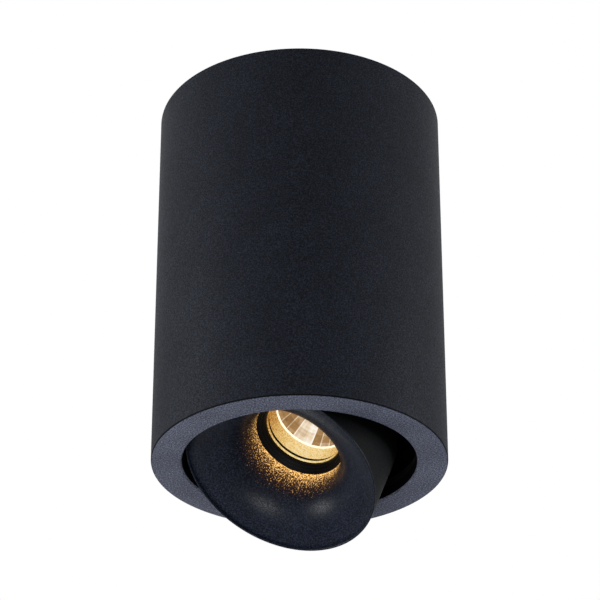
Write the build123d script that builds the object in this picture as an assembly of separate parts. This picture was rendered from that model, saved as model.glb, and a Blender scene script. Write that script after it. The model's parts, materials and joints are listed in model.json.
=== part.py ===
from build123d import *
import os
from math import asin, atan2, cos, degrees, radians, sin, sqrt, tan

# Surface mounted ceiling spotlight: a deep round can under the ceiling, with a tilting and
# swivelling lamp head that looks out of the round opening in the can's lower face.
# Row frame: millimetres, +Z up, origin in the middle of the ceiling face.

# ---------------------------------------------------------------- driving dimensions
# Can
opening_r = 38.0  # round opening in the lower face
ring_width = 10.0  # flat ring round the opening
can_height = 130.0
can_wall = 2.5
ring_thickness = 4.0
edge_break = 0.5  # chamfer on the ring's two edges

# Swivel seat on the inner side of the ring
glide_thickness = 0.6
swivel_thickness = 2.0
swivel_play = 0.08  # up and down play of the swivel ring
swivel_opening_gap = 0.4  # how far the swivel ring's bore stands back from the opening
swivel_rim_gap = 2.1  # between the swivel ring's rim and the can's wall
retainer_thickness = 1.2
retainer_grip = 1.2  # how far the retaining ring reaches over the swivel ring
retainer_bite = 0.8  # depth of its groove in the can's wall
retainer_half_gap = 8.0  # degrees
retainer_lug_r = 1.9
retainer_lug_hole_r = 0.9
retainer_lug_stand = 0.7  # from the ring's bore to the lug's middle
stop_pin_r = 0.8
stop_pin_clearance = 0.02
stop_tab_width = 3.0
stop_tab_gap = 0.3  # between the tab and the can's wall

# Lamp head
lip_gap = 5.0  # between the ring's opening and the head's lip, head upright
rim_thickness = 0.7
head_taper = 5.0  # degrees, of the head's outer wall
head_wall = 1.6
head_depth = 26.0
throat_r = 15.4
funnel_depth = 18.0
rib_count = 6
rib_thickness = 1.4
rib_rise = 6.0  # how far a rib climbs the spigot above the outer wall

# Tilt pivot, measured with the head upright
pivot_offset = 14.4  # from the can's axis, towards the side the light goes
pivot_height = 13.5  # above the ring's face
rest_tilt = 31.0
most_tilt = 35.0
beam_heading = 223.0  # degrees from +X, seen from above
ear_gap = 3.0  # between the lip and the ears
ear_thickness = 1.6
ear_back = 7.0  # the ear's reach behind the pivot
ear_front = 3.0  # and ahead of it
ear_top = 4.0
ear_round = 2.7
boss_r = 3.2
washer_thickness = 0.7
washer_r = 2.9
spring_washer_thickness = 0.35
pivot_r = 1.5
pivot_clearance = 0.05
pivot_head_r = 2.6
pivot_head_height = 1.7
pivot_grip = 5.0  # the screw's length inside the boss

# Optics
optic_clearance = 0.1
ring_land = 2.35  # the stepped ring's width, from the throat in to the light's mouth
ring_steps = 3
ring_step_depth = 0.77
ring_step_slope = 0.35  # the flat share of each step
ring_back = 0.9
barrel_wall = 2.5
barrel_length = 7.5
barrel_lip = 0.3  # how far the barrel's thin front lip stands in
barrel_lip_depth = 0.5
reflector_seat = 0.5
reflector_rim = 0.8
reflector_sides = 24
reflector_tiers = 5
reflector_wall = 0.7
reflector_base_r = 5.6
reflector_depth = 12.0
emitter_r = 4.6
emitter_thickness = 0.35
emitter_gap = 0.4
led_board_width = 13.4
led_board_thickness = 1.0
led_holder_r = 12.2
led_holder_thickness = 2.2
led_screw_r = 1.0
led_screw_head_r = 1.6
led_screw_head = 0.8
led_screw_circle = 9.6
led_screw_grip = 3.0
pad_thickness = 0.2

# Heat sink
fin_count = 24
fin_thickness = 1.3
fin_height = 11.5
fin_root = 1.0  # how far a fin runs into the core
sink_base = 3.5
sink_core_r = 8.0
sink_gap = 2.1  # between the sink and the can's wall at full tilt
sink_screw_count = 3
sink_screw_r = 1.25
sink_screw_head_r = 1.8
sink_screw_head = 1.8
sink_screw_grip = 5.0
sink_boss_r = 2.5
sink_boss_sunk = 0.6  # how far the boss is sunk into the spigot
lead_bore_r = 3.0
lead_grommet_grip = 3.0
lead_grommet_stand = 2.5
lead_grommet_flange = 1.2

# Ceiling plate
plate_thickness = 2.0
plate_gap = 0.5  # between the plate and the can
slot_spacing = 60.0
slot_width = 4.5
slot_length = 10.0
dish_r = 10.0
dish_depth = 1.6
cable_hole_r = 7.0
cable_bore_r = 4.0
grommet_flange = 2.5
grommet_lip = 1.4
tab_width = 14.0
tab_drop = 13.0
tab_thickness = 2.0
side_screw_r = 1.5
side_screw_depth = 8.0  # below the ceiling
side_screw_recess = 0.3
side_screw_socket = 1.6
fit_clearance = 0.1

# Small screws, all of one kind
small_screw_r = 1.5
small_screw_head_r = 2.7
small_screw_head = 1.6
screw_tip_gap = 0.1  # the tip stays this far below the ceiling
screw_edge = 0.3  # from a screw's head to the edge of what it holds

# Mains terminal block, cable clamp and earth point
block_length = 27.0
block_width = 15.0
block_height = 14.0
block_gap = 0.8
block_poles = 3
tower_height = 4.0
tower_gap = 1.6
tower_round = 0.8
wire_way_r = 1.7
wire_way_height = 7.0
terminal_screw_r = 1.9
terminal_screw_length = 4.2
terminal_screw_sunk = 1.0
terminal_screw_slot = 0.7
block_screw_r = 1.25
block_screw_head_r = 2.1
block_screw_head = 1.2
block_screw_seat = 5.0
clamp_gap = 1.5
clamp_length = 24.0
clamp_width = 7.0
clamp_thickness = 2.0
clamp_arch_r = 4.2
earth_x = -24.0
earth_y = 17.0
earth_tag_r = 4.0
earth_tag_thickness = 0.8
earth_blade_width = 5.0
earth_blade_reach = 11.0

# Driver, and the bracket that hangs it under the ceiling plate
driver_length = 62.0
driver_width = 38.0
driver_height = 22.0
driver_drop = 20.0  # its top, below the ceiling
driver_wall = 1.6
driver_corner = 3.0
driver_inner_corner = 1.5
driver_end = 7.0  # solid end with the screw notch
notch_width = 9.0
cover_height = 8.0
vent_count = 5
vent_pitch = 6.0
vent_length = 18.0
vent_width = 1.6
board_gap = 0.5
board_thickness = 1.6
board_stand = 1.5
board_post_r = 1.4
board_post_inset = 3.0
transformer_size = 14.0
transformer_height = 11.0
capacitor_r = 4.0
capacitor_height = 11.0
capacitor_spacing = 16.0
capacitor_gap = 5.0
driver_screw_inset = 3.2
bracket_thickness = 1.2
bracket_gap = 3.5
bracket_width = 16.0
bracket_foot = 6.5
tray_width = 30.0
tray_inset = 4.0
window_length = 24.0
window_width = 5.0
window_place = 9.0
connector_length = 18.0
connector_width = 10.0
connector_height = 7.0
connector_round = 1.0

# Leads
lead_r = 1.5
lead_clearance = 0.05
lead_wall_gap = 1.5  # between a lead and the can's wall
lead_inset = 7.0  # from the driver's side
lead_sink_start = 4.0  # how deep in the heat sink's core the head lead begins
lead_straight = 9.0  # its straight run behind the heat sink
lead_drop = 9.0  # its straight run under the connector
lead_swing = 0.7  # where the slack bends back, as a share of its reach

# ---------------------------------------------------------------- places worked out from these
can_r = opening_r + ring_width
bore_r = can_r - can_wall
ring_z = -can_height
lip_r = opening_r - lip_gap

glide_z = ring_z + ring_thickness
swivel_z = glide_z + glide_thickness + swivel_play / 2
swivel_top_z = swivel_z + swivel_thickness
retainer_z = swivel_top_z + swivel_play / 2
swivel_rim_r = bore_r - swivel_rim_gap
swivel_inner_r = opening_r + swivel_opening_gap
retainer_inner_r = swivel_rim_r - retainer_grip
retainer_outer_r = bore_r + retainer_bite
stop_pin_place = (swivel_rim_r + bore_r) / 2

ear_inner_w = lip_r + ear_gap
ear_outer_w = ear_inner_w + ear_thickness
boss_end_w = ear_inner_w - washer_thickness - 2 * pivot_clearance
washer_w = boss_end_w + pivot_clearance
spring_washer_w = ear_outer_w + pivot_clearance
pivot_head_w = spring_washer_w + spring_washer_thickness

# Depths in the head are counted from its lip, up along its own axis.
flare_r = lip_r - rim_thickness - throat_r
spigot_r = throat_r + head_wall
optic_r = throat_r - optic_clearance
light_mouth_r = throat_r - ring_land
barrel_r = throat_r - barrel_wall
barrel_front = funnel_depth + ring_steps * ring_step_depth + ring_back
reflector_front = barrel_front + barrel_length
reflector_rear = reflector_front + reflector_depth
base_depth = reflector_rear + fit_clearance + led_holder_thickness
holder_front = base_depth - led_holder_thickness
board_front = base_depth - pad_thickness - led_board_thickness
fin_front = base_depth + sink_base
sink_rear = fin_front + fin_height

plate_r = bore_r - plate_gap
tab_x = sqrt(plate_r**2 - (tab_width / 2) ** 2) - tab_thickness / 2
dish_outer_r = dish_r + plate_thickness
dish_low = -plate_thickness - dish_depth
block_bottom = -plate_thickness - block_height
block_seat = block_bottom + block_screw_seat
block_offset = dish_outer_r + block_gap + block_width / 2
block_face = block_offset + block_width / 2
block_pitch = block_length / block_poles
clamp_offset = dish_outer_r + clamp_gap + clamp_width / 2

driver_top = -driver_drop
driver_bottom = driver_top - driver_height
driver_seam = driver_top - cover_height
driver_floor = driver_bottom + driver_wall
driver_room_x = driver_length - 2 * (driver_end + driver_wall)
driver_room_y = driver_width - 2 * driver_wall
tray_top = driver_bottom
tray_bottom = tray_top - bracket_thickness
leg_x = max(driver_length / 2 + bracket_gap, block_face + bracket_foot)
connector_bottom = tray_bottom - connector_height

swivel_turn = Pos(0, 0, 0) * Rot(0, 0, beam_heading)
head_turn = (
    swivel_turn
    * Pos(pivot_offset, 0, ring_z + pivot_height)
    * Rot(0, -rest_tilt, 0)
    * Pos(-pivot_offset, 0, -pivot_height)
)


def lip_along(tilt):
    """How far the lip's centre has moved along the beam's heading at a tilt."""
    angle = radians(tilt)
    return pivot_offset * (1 - cos(angle)) + pivot_height * sin(angle)


# The heat sink is as wide as the can's wall allows at full tilt.
sink_room = bore_r - sink_gap + lip_along(most_tilt) - sink_rear * sin(radians(most_tilt))
sink_r = sink_room / cos(radians(most_tilt))


# ---------------------------------------------------------------- small helpers
def turned(*outline):
    """A solid of revolution about Z from an outline of (radius, height) points."""
    face = make_face(Plane.XZ * Polyline(*outline, close=True))
    return revolve(face, Axis.Z)


def tube(outer, inner, low, high):
    """A plain ring between two heights."""
    return extrude(Pos(0, 0, low) * (Circle(outer) - Circle(inner)), high - low)


def rod(radius, low, high):
    """A plain round rod between two heights."""
    return extrude(Pos(0, 0, low) * Circle(radius), high - low)


def bar(size_x, size_y, low, high):
    """A plain bar of a rectangular section between two heights."""
    return extrude(Pos(0, 0, low) * Rectangle(size_x, size_y), high - low)


def rounded_bar(size_x, size_y, low, high, corner):
    """A bar with rounded upright edges."""
    return extrude(Pos(0, 0, low) * RectangleRounded(size_x, size_y, corner), high - low)


def screw(radius, length, head_r, head_height, socket=True):
    """A screw along Z: the head stands above z = 0 and the shank below it."""
    body = rod(head_r, 0, head_height) + rod(radius, -length, 0)
    if socket:
        drive = RegularPolygon(head_r / 2, 6)
        body -= extrude(Pos(0, 0, head_height) * drive, -head_height / 2)
    return body


def plate_screw(held):
    """A small screw that points up through what it holds into the ceiling plate."""
    length = held + plate_thickness - screw_tip_gap
    turned_up = Rot(180, 0, 0) * screw(
        small_screw_r, length, small_screw_head_r, small_screw_head
    )
    return Pos(0, 0, -plate_thickness - held) * turned_up


def around(count, radius, start=0.0):
    """Places evenly spaced on a circle, each turned to face outwards."""
    step = 360.0 / count
    return [Rot(0, 0, start + step * k) * Pos(radius, 0, 0) for k in range(count)]


def group(places, shape):
    """Copies of one shape at several places, as a group of separate solids."""
    return Compound(children=[place * shape for place in places])


def bend_radii(points):
    """The largest tangent arc that each corner of a lead's route has room for."""
    radii = []
    for before, corner, after in zip(points, points[1:], points[2:]):
        run_in = Vector(*corner) - Vector(*before)
        run_out = Vector(*after) - Vector(*corner)
        half_turn = radians(run_in.get_angle(run_out)) / 2
        radii.append(0.45 * min(run_in.length, run_out.length) / tan(half_turn))
    return radii


def lead(points):
    """A round lead along straight runs joined by tangent arcs."""
    radii = bend_radii(points)
    print("lead bends to radii of", [round(radius, 1) for radius in radii])
    route = FilletPolyline(*points, radius=radii)
    start = Plane(origin=points[0], z_dir=Vector(*points[1]) - Vector(*points[0]))
    return sweep(start * Circle(lead_r), path=route)


nodes = {}


def keep(name, shape):
    """Holds one finished node under its own name."""
    nodes[name] = shape


# ---------------------------------------------------------------- the can and its swivel seat
def side_places():
    """The two side screws' lines, pointing outwards from the can's axis."""
    return [Rot(0, 0, side) * Pos(0, 0, -side_screw_depth) * Rot(0, 90, 0) for side in (0, 180)]


def can():
    """The drawn can: a wall, the flat ring at its foot, and the retaining ring's groove."""
    body = turned(
        (opening_r + edge_break, ring_z),
        (can_r - edge_break, ring_z),
        (can_r, ring_z + edge_break),
        (can_r, 0),
        (bore_r, 0),
        (bore_r, glide_z),
        (opening_r, glide_z),
        (opening_r, ring_z + edge_break),
    )
    groove_top = retainer_z + retainer_thickness + fit_clearance
    body -= tube(retainer_outer_r + fit_clearance, swivel_rim_r, retainer_z, groove_top)
    pin_hole = rod(stop_pin_r + stop_pin_clearance, glide_z - ring_thickness / 2, glide_z)
    body -= swivel_turn * Pos(-stop_pin_place, 0, 0) * pin_hole
    for place in side_places():
        body -= place * rod(side_screw_r + fit_clearance, plate_r, can_r + can_wall)
    return body


def retaining_ring():
    """A spring ring that snaps into the can's groove, with two holed lugs at its gap."""
    low = retainer_z + fit_clearance / 2
    high = low + retainer_thickness
    ring = tube(retainer_outer_r, retainer_inner_r, low, high)
    edge = can_r * tan(radians(retainer_half_gap))
    wedge = make_face(Polyline((0, 0), (can_r, edge), (can_r, -edge), close=True))
    ring -= extrude(Pos(0, 0, low) * wedge, retainer_thickness)
    for side in (1, -1):
        turn = side * (retainer_half_gap + degrees(retainer_lug_r / retainer_inner_r))
        place = Rot(0, 0, turn) * Pos(retainer_inner_r + retainer_lug_stand, 0, 0)
        ring += place * rod(retainer_lug_r, low, high)
        ring -= place * rod(retainer_lug_hole_r, low, high)
    return Rot(0, 0, 90) * ring


keep("can", can())
keep("glide_ring", tube(swivel_rim_r, swivel_inner_r, glide_z, glide_z + glide_thickness))
keep("retaining_ring", retaining_ring())
stop_pin = rod(stop_pin_r, glide_z - ring_thickness / 2, swivel_top_z)
keep("swivel_stop_pin", swivel_turn * Pos(-stop_pin_place, 0, 0) * stop_pin)


# ---------------------------------------------------------------- ceiling plate and what it holds
def bracket_feet():
    """Where the hanging bracket's four screws go up into the ceiling plate."""
    along = leg_x - bracket_foot / 2
    across = bracket_width / 2 - small_screw_head_r - screw_edge
    return [Pos(sx * along, sy * across, 0) for sx in (1, -1) for sy in (1, -1)]


def clamp_feet():
    """The cable clamp's two screws."""
    across = clamp_length / 2 - small_screw_head_r - screw_edge
    return [Pos(-clamp_offset, side * across, 0) for side in (1, -1)]


def block_foot():
    """The terminal block's one screw, between two of its poles."""
    return Pos(block_offset, block_pitch / 2, 0)


def pole_places():
    """The middle of each pole of the terminal block."""
    middle = (block_poles - 1) / 2
    return [Pos(block_offset, (k - middle) * block_pitch, 0) for k in range(block_poles)]


def ceiling_plate():
    """A pressed disc with two slots, a dished cable hole and two tabs for the side screws."""
    plate = rod(plate_r, -plate_thickness, 0) - rod(dish_r, -plate_thickness, 0)
    plate += tube(dish_outer_r, cable_hole_r, dish_low, -dish_depth)
    for side in (1, -1):
        slot = SlotOverall(slot_length, slot_width, rotation=90)
        place = Pos(0, side * slot_spacing / 2, -plate_thickness)
        plate -= extrude(place * slot, plate_thickness)
    for side in (0, 180):
        tab = bar(tab_thickness, tab_width, -tab_drop, -plate_thickness)
        plate += Rot(0, 0, side) * Pos(tab_x, 0, 0) * tab
    for place in side_places():
        plate -= place * rod(side_screw_r, tab_x - tab_thickness, plate_r)
    for place in bracket_feet() + clamp_feet() + [Pos(earth_x, earth_y, 0)]:
        plate -= place * rod(small_screw_r, -plate_thickness, 0)
    return plate - block_foot() * rod(block_screw_r, -plate_thickness, 0)


def cable_grommet():
    """A rubber ring round the supply cable, with a flange on each side of the dish."""
    flange_r = cable_hole_r + grommet_flange
    return turned(
        (cable_bore_r, dish_low - grommet_lip),
        (flange_r, dish_low - grommet_lip),
        (flange_r, dish_low),
        (cable_hole_r, dish_low),
        (cable_hole_r, -dish_depth),
        (flange_r, -dish_depth),
        (flange_r, -dish_depth + grommet_lip),
        (cable_bore_r, -dish_depth + grommet_lip),
    )


def grub_screw():
    """A headless screw from the ceiling plate's tab out into the can's wall."""
    outer = can_r - side_screw_recess
    body = rod(side_screw_r, tab_x - tab_thickness / 2, outer)
    drive = RegularPolygon(side_screw_r / 2, 6)
    return body - extrude(Pos(0, 0, outer) * drive, -side_screw_socket)


def terminal_block():
    """A screw terminal: a tower over each pole, and a way for the wire through it."""
    towers_top = block_bottom + tower_height
    body = Pos(block_offset, 0, 0) * bar(
        block_width, block_length, towers_top, -plate_thickness
    )
    tower = rounded_bar(
        block_width, block_pitch - tower_gap, block_bottom, towers_top, tower_round
    )
    way = Pos(0, 0, block_bottom + wire_way_height) * Rot(0, 90, 0)
    wire_way = way * rod(wire_way_r, -block_width / 2, block_width / 2)
    well = rod(
        terminal_screw_r + fit_clearance,
        block_bottom,
        block_bottom + terminal_screw_sunk + terminal_screw_length,
    )
    for place in pole_places():
        body += place * tower
    for place in pole_places():
        body -= place * wire_way
        for side in (1, -1):
            body -= place * Pos(side * block_width / 4, 0, 0) * well
    hole = rod(block_screw_r + fit_clearance, block_bottom, -plate_thickness)
    head_room = rod(block_screw_head_r + fit_clearance, block_bottom, block_seat)
    return body - block_foot() * (hole + head_room)


def terminal_screws():
    """Six slotted clamping screws in the terminal block."""
    low = block_bottom + terminal_screw_sunk
    body = rod(terminal_screw_r, low, low + terminal_screw_length)
    body -= bar(3 * terminal_screw_r, terminal_screw_slot, low, low + terminal_screw_slot)
    places = []
    for place in pole_places():
        places += [place * Pos(side * block_width / 4, 0, 0) for side in (1, -1)]
    return group(places, body)


def cable_clamp():
    """A saddle with an arch over the supply cable and a screw at each end."""
    low = -plate_thickness - clamp_thickness
    saddle = bar(clamp_width, clamp_length, low, -plate_thickness)
    across = Pos(0, 0, -plate_thickness) * Rot(0, 90, 0)
    half = clamp_width / 2
    saddle += across * rod(clamp_arch_r + clamp_thickness, -half, half)
    saddle -= across * rod(clamp_arch_r, -half, half)
    saddle -= bar(clamp_width, clamp_length, -plate_thickness, clamp_length)
    saddle = Pos(-clamp_offset, 0, 0) * saddle
    for place in clamp_feet():
        saddle -= place * rod(small_screw_r + fit_clearance, low, -plate_thickness)
    return saddle


def earth_tag():
    """A flat ring tag with a blade, under the earth screw."""
    blade_length = earth_blade_reach - earth_tag_r / 2
    blade_middle = earth_blade_reach - blade_length / 2
    tag = Circle(earth_tag_r) + Pos(0, blade_middle, 0) * Rectangle(
        earth_blade_width, blade_length
    )
    tag -= Circle(small_screw_r + fit_clearance)
    low = -plate_thickness - earth_tag_thickness
    return Pos(earth_x, earth_y, low) * extrude(tag, earth_tag_thickness)


keep("ceiling_plate", ceiling_plate())
keep("cable_grommet", cable_grommet())
keep("side_screws", group(side_places(), grub_screw()))
keep("terminal_block", terminal_block())
keep("terminal_screws", terminal_screws())
block_screw = Rot(180, 0, 0) * screw(
    block_screw_r, -block_seat - screw_tip_gap, block_screw_head_r, block_screw_head
)
keep("terminal_fixing_screw", block_foot() * Pos(0, 0, block_seat) * block_screw)
keep("cable_clamp", cable_clamp())
keep("cable_clamp_screws", group(clamp_feet(), plate_screw(clamp_thickness)))
keep("earth_tag", earth_tag())
keep("earth_screw", Pos(earth_x, earth_y, 0) * plate_screw(earth_tag_thickness))


# ---------------------------------------------------------------- hanging bracket and driver
def driver_screw_places():
    """The two screws that hold the driver's ends on the tray."""
    along = driver_length / 2 - driver_screw_inset
    return [Pos(side * along, 0, 0) for side in (1, -1)]


def driver_bracket():
    """A folded strip: two feet under the plate, two legs, and a tray under the driver."""
    top = -plate_thickness
    inner_top = top - bracket_thickness
    outer_x = leg_x + bracket_thickness
    half = [
        (leg_x - bracket_foot, inner_top),
        (leg_x - bracket_foot, top),
        (outer_x, top),
        (outer_x, tray_bottom),
    ]
    outline = half + [(-x, z) for x, z in reversed(half)]
    outline += [(-leg_x, inner_top), (-leg_x, tray_top), (leg_x, tray_top), (leg_x, inner_top)]
    face = make_face(Plane.XZ * Polyline(*outline, close=True))
    strip = extrude(face, bracket_width / 2, both=True)
    strip += bar(driver_length - 2 * tray_inset, tray_width, tray_bottom, tray_top)
    for place in bracket_feet():
        strip -= place * rod(small_screw_r + fit_clearance, inner_top, top)
    for place in driver_screw_places():
        strip -= place * rod(small_screw_r, tray_bottom, tray_top)
    window = Pos(0, 0, tray_bottom) * SlotOverall(window_length, window_width)
    for side in (1, -1):
        strip -= Pos(0, side * window_place, 0) * extrude(window, bracket_thickness)
    return strip


def end_notches(low, high):
    """The room over each of the driver's end screws."""
    along = (driver_length - driver_end) / 2
    notch = bar(driver_end, notch_width, low, high)
    return group([Pos(side * along, 0, 0) for side in (1, -1)], notch)


def driver_case():
    """The driver's open tub, with a notch and a thin floor at each end for its screw."""
    body = rounded_bar(driver_length, driver_width, driver_bottom, driver_seam, driver_corner)
    body -= rounded_bar(
        driver_room_x, driver_room_y, driver_floor, driver_seam, driver_inner_corner
    )
    for notch in end_notches(driver_floor, driver_seam).solids():
        body -= notch
    for place in driver_screw_places():
        body -= place * rod(small_screw_r + fit_clearance, driver_bottom, driver_floor)
    return body


def driver_cover():
    """The lid, a shallow shell with cooling slots and a notch over each end screw."""
    body = rounded_bar(driver_length, driver_width, driver_seam, driver_top, driver_corner)
    ceiling = driver_top - driver_wall
    body -= rounded_bar(
        driver_room_x, driver_room_y, driver_seam, ceiling, driver_inner_corner
    )
    for notch in end_notches(driver_seam, driver_top).solids():
        body -= notch
    vent = SlotOverall(vent_length, vent_width, rotation=90)
    for k in range(vent_count):
        place = Pos((k - (vent_count - 1) / 2) * vent_pitch, 0, ceiling)
        body -= extrude(place * vent, driver_wall)
    return body


def driver_board():
    """The driver's circuit board with its transformer and two capacitors, on four posts."""
    length = driver_room_x - 2 * board_gap
    width = driver_room_y - 2 * board_gap
    low = driver_floor + board_stand
    top = low + board_thickness
    board = bar(length, width, low, top)
    board += bar(transformer_size, transformer_size, top, top + transformer_height)
    along = transformer_size / 2 + capacitor_gap
    for side in (1, -1):
        place = Pos(along, side * capacitor_spacing / 2, 0)
        board += place * rod(capacitor_r, top, top + capacitor_height)
    for sx in (1, -1):
        for sy in (1, -1):
            x = sx * (length / 2 - board_post_inset)
            y = sy * (width / 2 - board_post_inset)
            board += Pos(x, y, 0) * rod(board_post_r, driver_floor, low)
    return board


keep("driver_bracket", driver_bracket())
keep("bracket_screws", group(bracket_feet(), plate_screw(bracket_thickness)))
keep("driver_case", driver_case())
keep("driver_cover", driver_cover())
keep("driver_board", driver_board())
driver_screw = Pos(0, 0, driver_floor) * screw(
    small_screw_r, driver_wall + bracket_thickness, small_screw_head_r, small_screw_head
)
keep("driver_screws", group(driver_screw_places(), driver_screw))
connector = rounded_bar(
    connector_length, connector_width, connector_bottom, tray_bottom, connector_round
)
keep("lead_connector", connector)

# The fixed leads bend out beside the driver as far as the can's wall allows.
lead_side = driver_width / 2 - lead_inset
lead_reach = sqrt((bore_r - lead_wall_gap - lead_r) ** 2 - lead_side**2)
way_z = block_bottom + wire_way_height
end_z = (driver_bottom + driver_seam) / 2
pole_y = (block_poles - 1) / 2 * block_pitch
mains_route = [
    (block_face, pole_y, way_z),
    (lead_reach, lead_side, way_z),
    (lead_reach, lead_side, end_z),
    (driver_length / 2, lead_side, end_z),
]
keep("mains_lead", lead(mains_route))
connector_z = tray_bottom - connector_height / 2
output_route = [
    (-driver_length / 2, lead_side, end_z),
    (-lead_reach, lead_side, end_z),
    (-lead_reach, lead_side - 2 * lead_r, connector_z),
    (-connector_length, 0, connector_z),
    (-connector_length / 2, 0, connector_z),
]
keep("output_lead", lead(output_route))


# ---------------------------------------------------------------- swivel ring with the pivot ears
def swivel_ring():
    """A flat ring with two upright ears, and a tab that meets the stop pin."""
    ring = tube(swivel_rim_r, swivel_inner_r, swivel_z, swivel_top_z)
    pivot_z = ring_z + pivot_height
    ear_length = ear_back + ear_front
    ear_middle = pivot_offset + (ear_front - ear_back) / 2
    foot_outer_w = sqrt(swivel_rim_r**2 - (pivot_offset + ear_front) ** 2)
    foot = bar(ear_length, foot_outer_w - ear_inner_w, swivel_z, swivel_top_z)
    ear = bar(ear_length, ear_thickness, swivel_top_z, pivot_z + ear_top)
    ear = fillet(ear.edges().filter_by(Axis.Y).group_by(Axis.Z)[-1], ear_round)
    hole = Rot(90, 0, 0) * rod(pivot_r + pivot_clearance, -ear_thickness, ear_thickness)
    for side in (1, -1):
        ear_w = side * (ear_inner_w + ear_outer_w) / 2
        ring += Pos(ear_middle, side * (ear_inner_w + foot_outer_w) / 2, 0) * foot
        ring += Pos(ear_middle, ear_w, 0) * ear
        ring -= Pos(pivot_offset, ear_w, pivot_z) * hole
    tab_end = bore_r - stop_tab_gap
    tab = bar(tab_end - swivel_inner_r, stop_tab_width, swivel_z, swivel_top_z)
    ring += Pos((tab_end + swivel_inner_r) / 2, 0, 0) * tab
    return ring


keep("swivel_ring", swivel_turn * swivel_ring())


# ---------------------------------------------------------------- the lamp head
def wall_r(depth):
    """Outer radius of the head's tapered wall at a depth behind the lip."""
    return lip_r - depth * tan(radians(head_taper))


def sink_screw_places():
    """Where the heat sink's screws go, each in a gap between two fins."""
    radius = spigot_r + sink_boss_r - sink_boss_sunk
    return around(sink_screw_count, radius, start=180 / fin_count)


def pivot_places():
    """The two ends of the tilt axis, each with its own +Z pointing outwards."""
    return [Pos(pivot_offset, 0, pivot_height) * Rot(-90 * side, 0, 0) for side in (1, -1)]


def shell_outline():
    """Half of the head casting's section: lip, flare, spigot and tapered wall."""
    centre = (throat_r + flare_r, funnel_depth)
    back_r = flare_r - head_wall
    half_rim = rim_thickness / 2
    slant = sin(radians(45))
    meet_r = lip_r - head_wall
    for _ in range(4):  # settles on where the flare's back meets the tapered wall's inside
        meet_depth = centre[1] - sqrt(back_r**2 - (centre[0] - meet_r) ** 2)
        meet_r = wall_r(meet_depth) - head_wall
    middle = atan2(centre[1] - meet_depth, centre[0] - meet_r) / 2
    back_middle = (centre[0] - back_r * cos(middle), centre[1] - back_r * sin(middle))
    flare_middle = (centre[0] - flare_r * slant, centre[1] - flare_r * slant)
    flare_start = (centre[0], centre[1] - flare_r)
    return Curve() + [
        ThreePointArc((throat_r, centre[1]), flare_middle, flare_start),
        Line(flare_start, (centre[0], half_rim)),
        ThreePointArc((centre[0], half_rim), (lip_r - half_rim, 0), (lip_r, half_rim)),
        Polyline(
            (lip_r, half_rim),
            (wall_r(head_depth), head_depth),
            (wall_r(head_depth) - head_wall, head_depth),
            (meet_r, meet_depth),
        ),
        ThreePointArc((meet_r, meet_depth), back_middle, (spigot_r, centre[1])),
        Polyline(
            (spigot_r, centre[1]),
            (spigot_r, base_depth),
            (throat_r, base_depth),
            (throat_r, centre[1]),
        ),
    ]


def head_shell():
    """The cast head: lip, flared funnel, tapered wall, spigot, ribs, pivot and screw bosses."""
    shell = revolve(make_face(Plane.XZ * shell_outline()), Axis.Z)
    root_r = spigot_r - head_wall / 2
    ahead_of_flare = Pos(lip_r, funnel_depth / 2) * Rectangle(2 * lip_r, funnel_depth)
    ahead_of_flare -= Pos(throat_r + flare_r, funnel_depth) * Circle(flare_r - head_wall / 2)
    web = make_face(
        Polyline(
            (root_r, 0),
            (wall_r(0) - head_wall / 2, 0),
            (wall_r(head_depth) - head_wall / 2, head_depth),
            (root_r, head_depth + rib_rise),
            close=True,
        )
    )
    web = Plane.XZ * (web - ahead_of_flare)
    rib = extrude(web, rib_thickness / 2, both=True)
    for place in around(rib_count, 0, start=180 / rib_count):
        shell += place * rib
    root_w = sqrt((wall_r(pivot_height) - head_wall) ** 2 - pivot_offset**2)
    for place in pivot_places():
        shell += place * rod(boss_r, root_w, boss_end_w)
        shell -= place * rod(pivot_r, boss_end_w - pivot_grip, boss_end_w)
    for place in sink_screw_places():
        shell += place * rod(sink_boss_r, head_depth, base_depth)
        shell -= place * rod(sink_screw_r, base_depth - sink_screw_grip, base_depth)
    return shell - rod(throat_r, funnel_depth, base_depth)


keep("head_shell", head_turn * head_shell())

tilt_ends = [head_turn * place for place in pivot_places()]
hole_r = pivot_r + pivot_clearance
friction_washer = tube(washer_r, hole_r, washer_w, washer_w + washer_thickness)
keep("friction_washers", group(tilt_ends, friction_washer))
keep("spring_washers", group(tilt_ends, tube(washer_r, hole_r, spring_washer_w, pivot_head_w)))
pivot_length = pivot_head_w - boss_end_w + pivot_grip
pivot_screw = screw(pivot_r, pivot_length, pivot_head_r, pivot_head_height)
keep("pivot_screws", group(tilt_ends, Pos(0, 0, pivot_head_w) * pivot_screw))


# ---------------------------------------------------------------- optics, from the throat back
def anti_glare_ring():
    """The black ring at the throat, with fine steps down to the light's mouth."""
    step_r = (optic_r - light_mouth_r) / ring_steps
    outline = [(optic_r, funnel_depth)]
    for k in range(ring_steps):
        depth = funnel_depth + k * ring_step_depth
        outline.append((optic_r - (k + ring_step_slope) * step_r, depth))
        outline.append((optic_r - (k + 1) * step_r, depth + ring_step_depth))
    outline += [(light_mouth_r, barrel_front), (optic_r, barrel_front)]
    return turned(*outline)


def optic_tube():
    """The tube behind the ring: a thin lip, a plain barrel, then the reflector's seat."""
    lip_r_inner = barrel_r - barrel_lip
    seat_r = barrel_r + reflector_seat
    return turned(
        (optic_r, barrel_front),
        (lip_r_inner, barrel_front),
        (lip_r_inner, barrel_front + barrel_lip_depth),
        (barrel_r, barrel_front + 2 * barrel_lip_depth),
        (barrel_r, reflector_front),
        (seat_r, reflector_front),
        (seat_r, holder_front - fit_clearance),
        (optic_r, holder_front - fit_clearance),
    )


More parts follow.
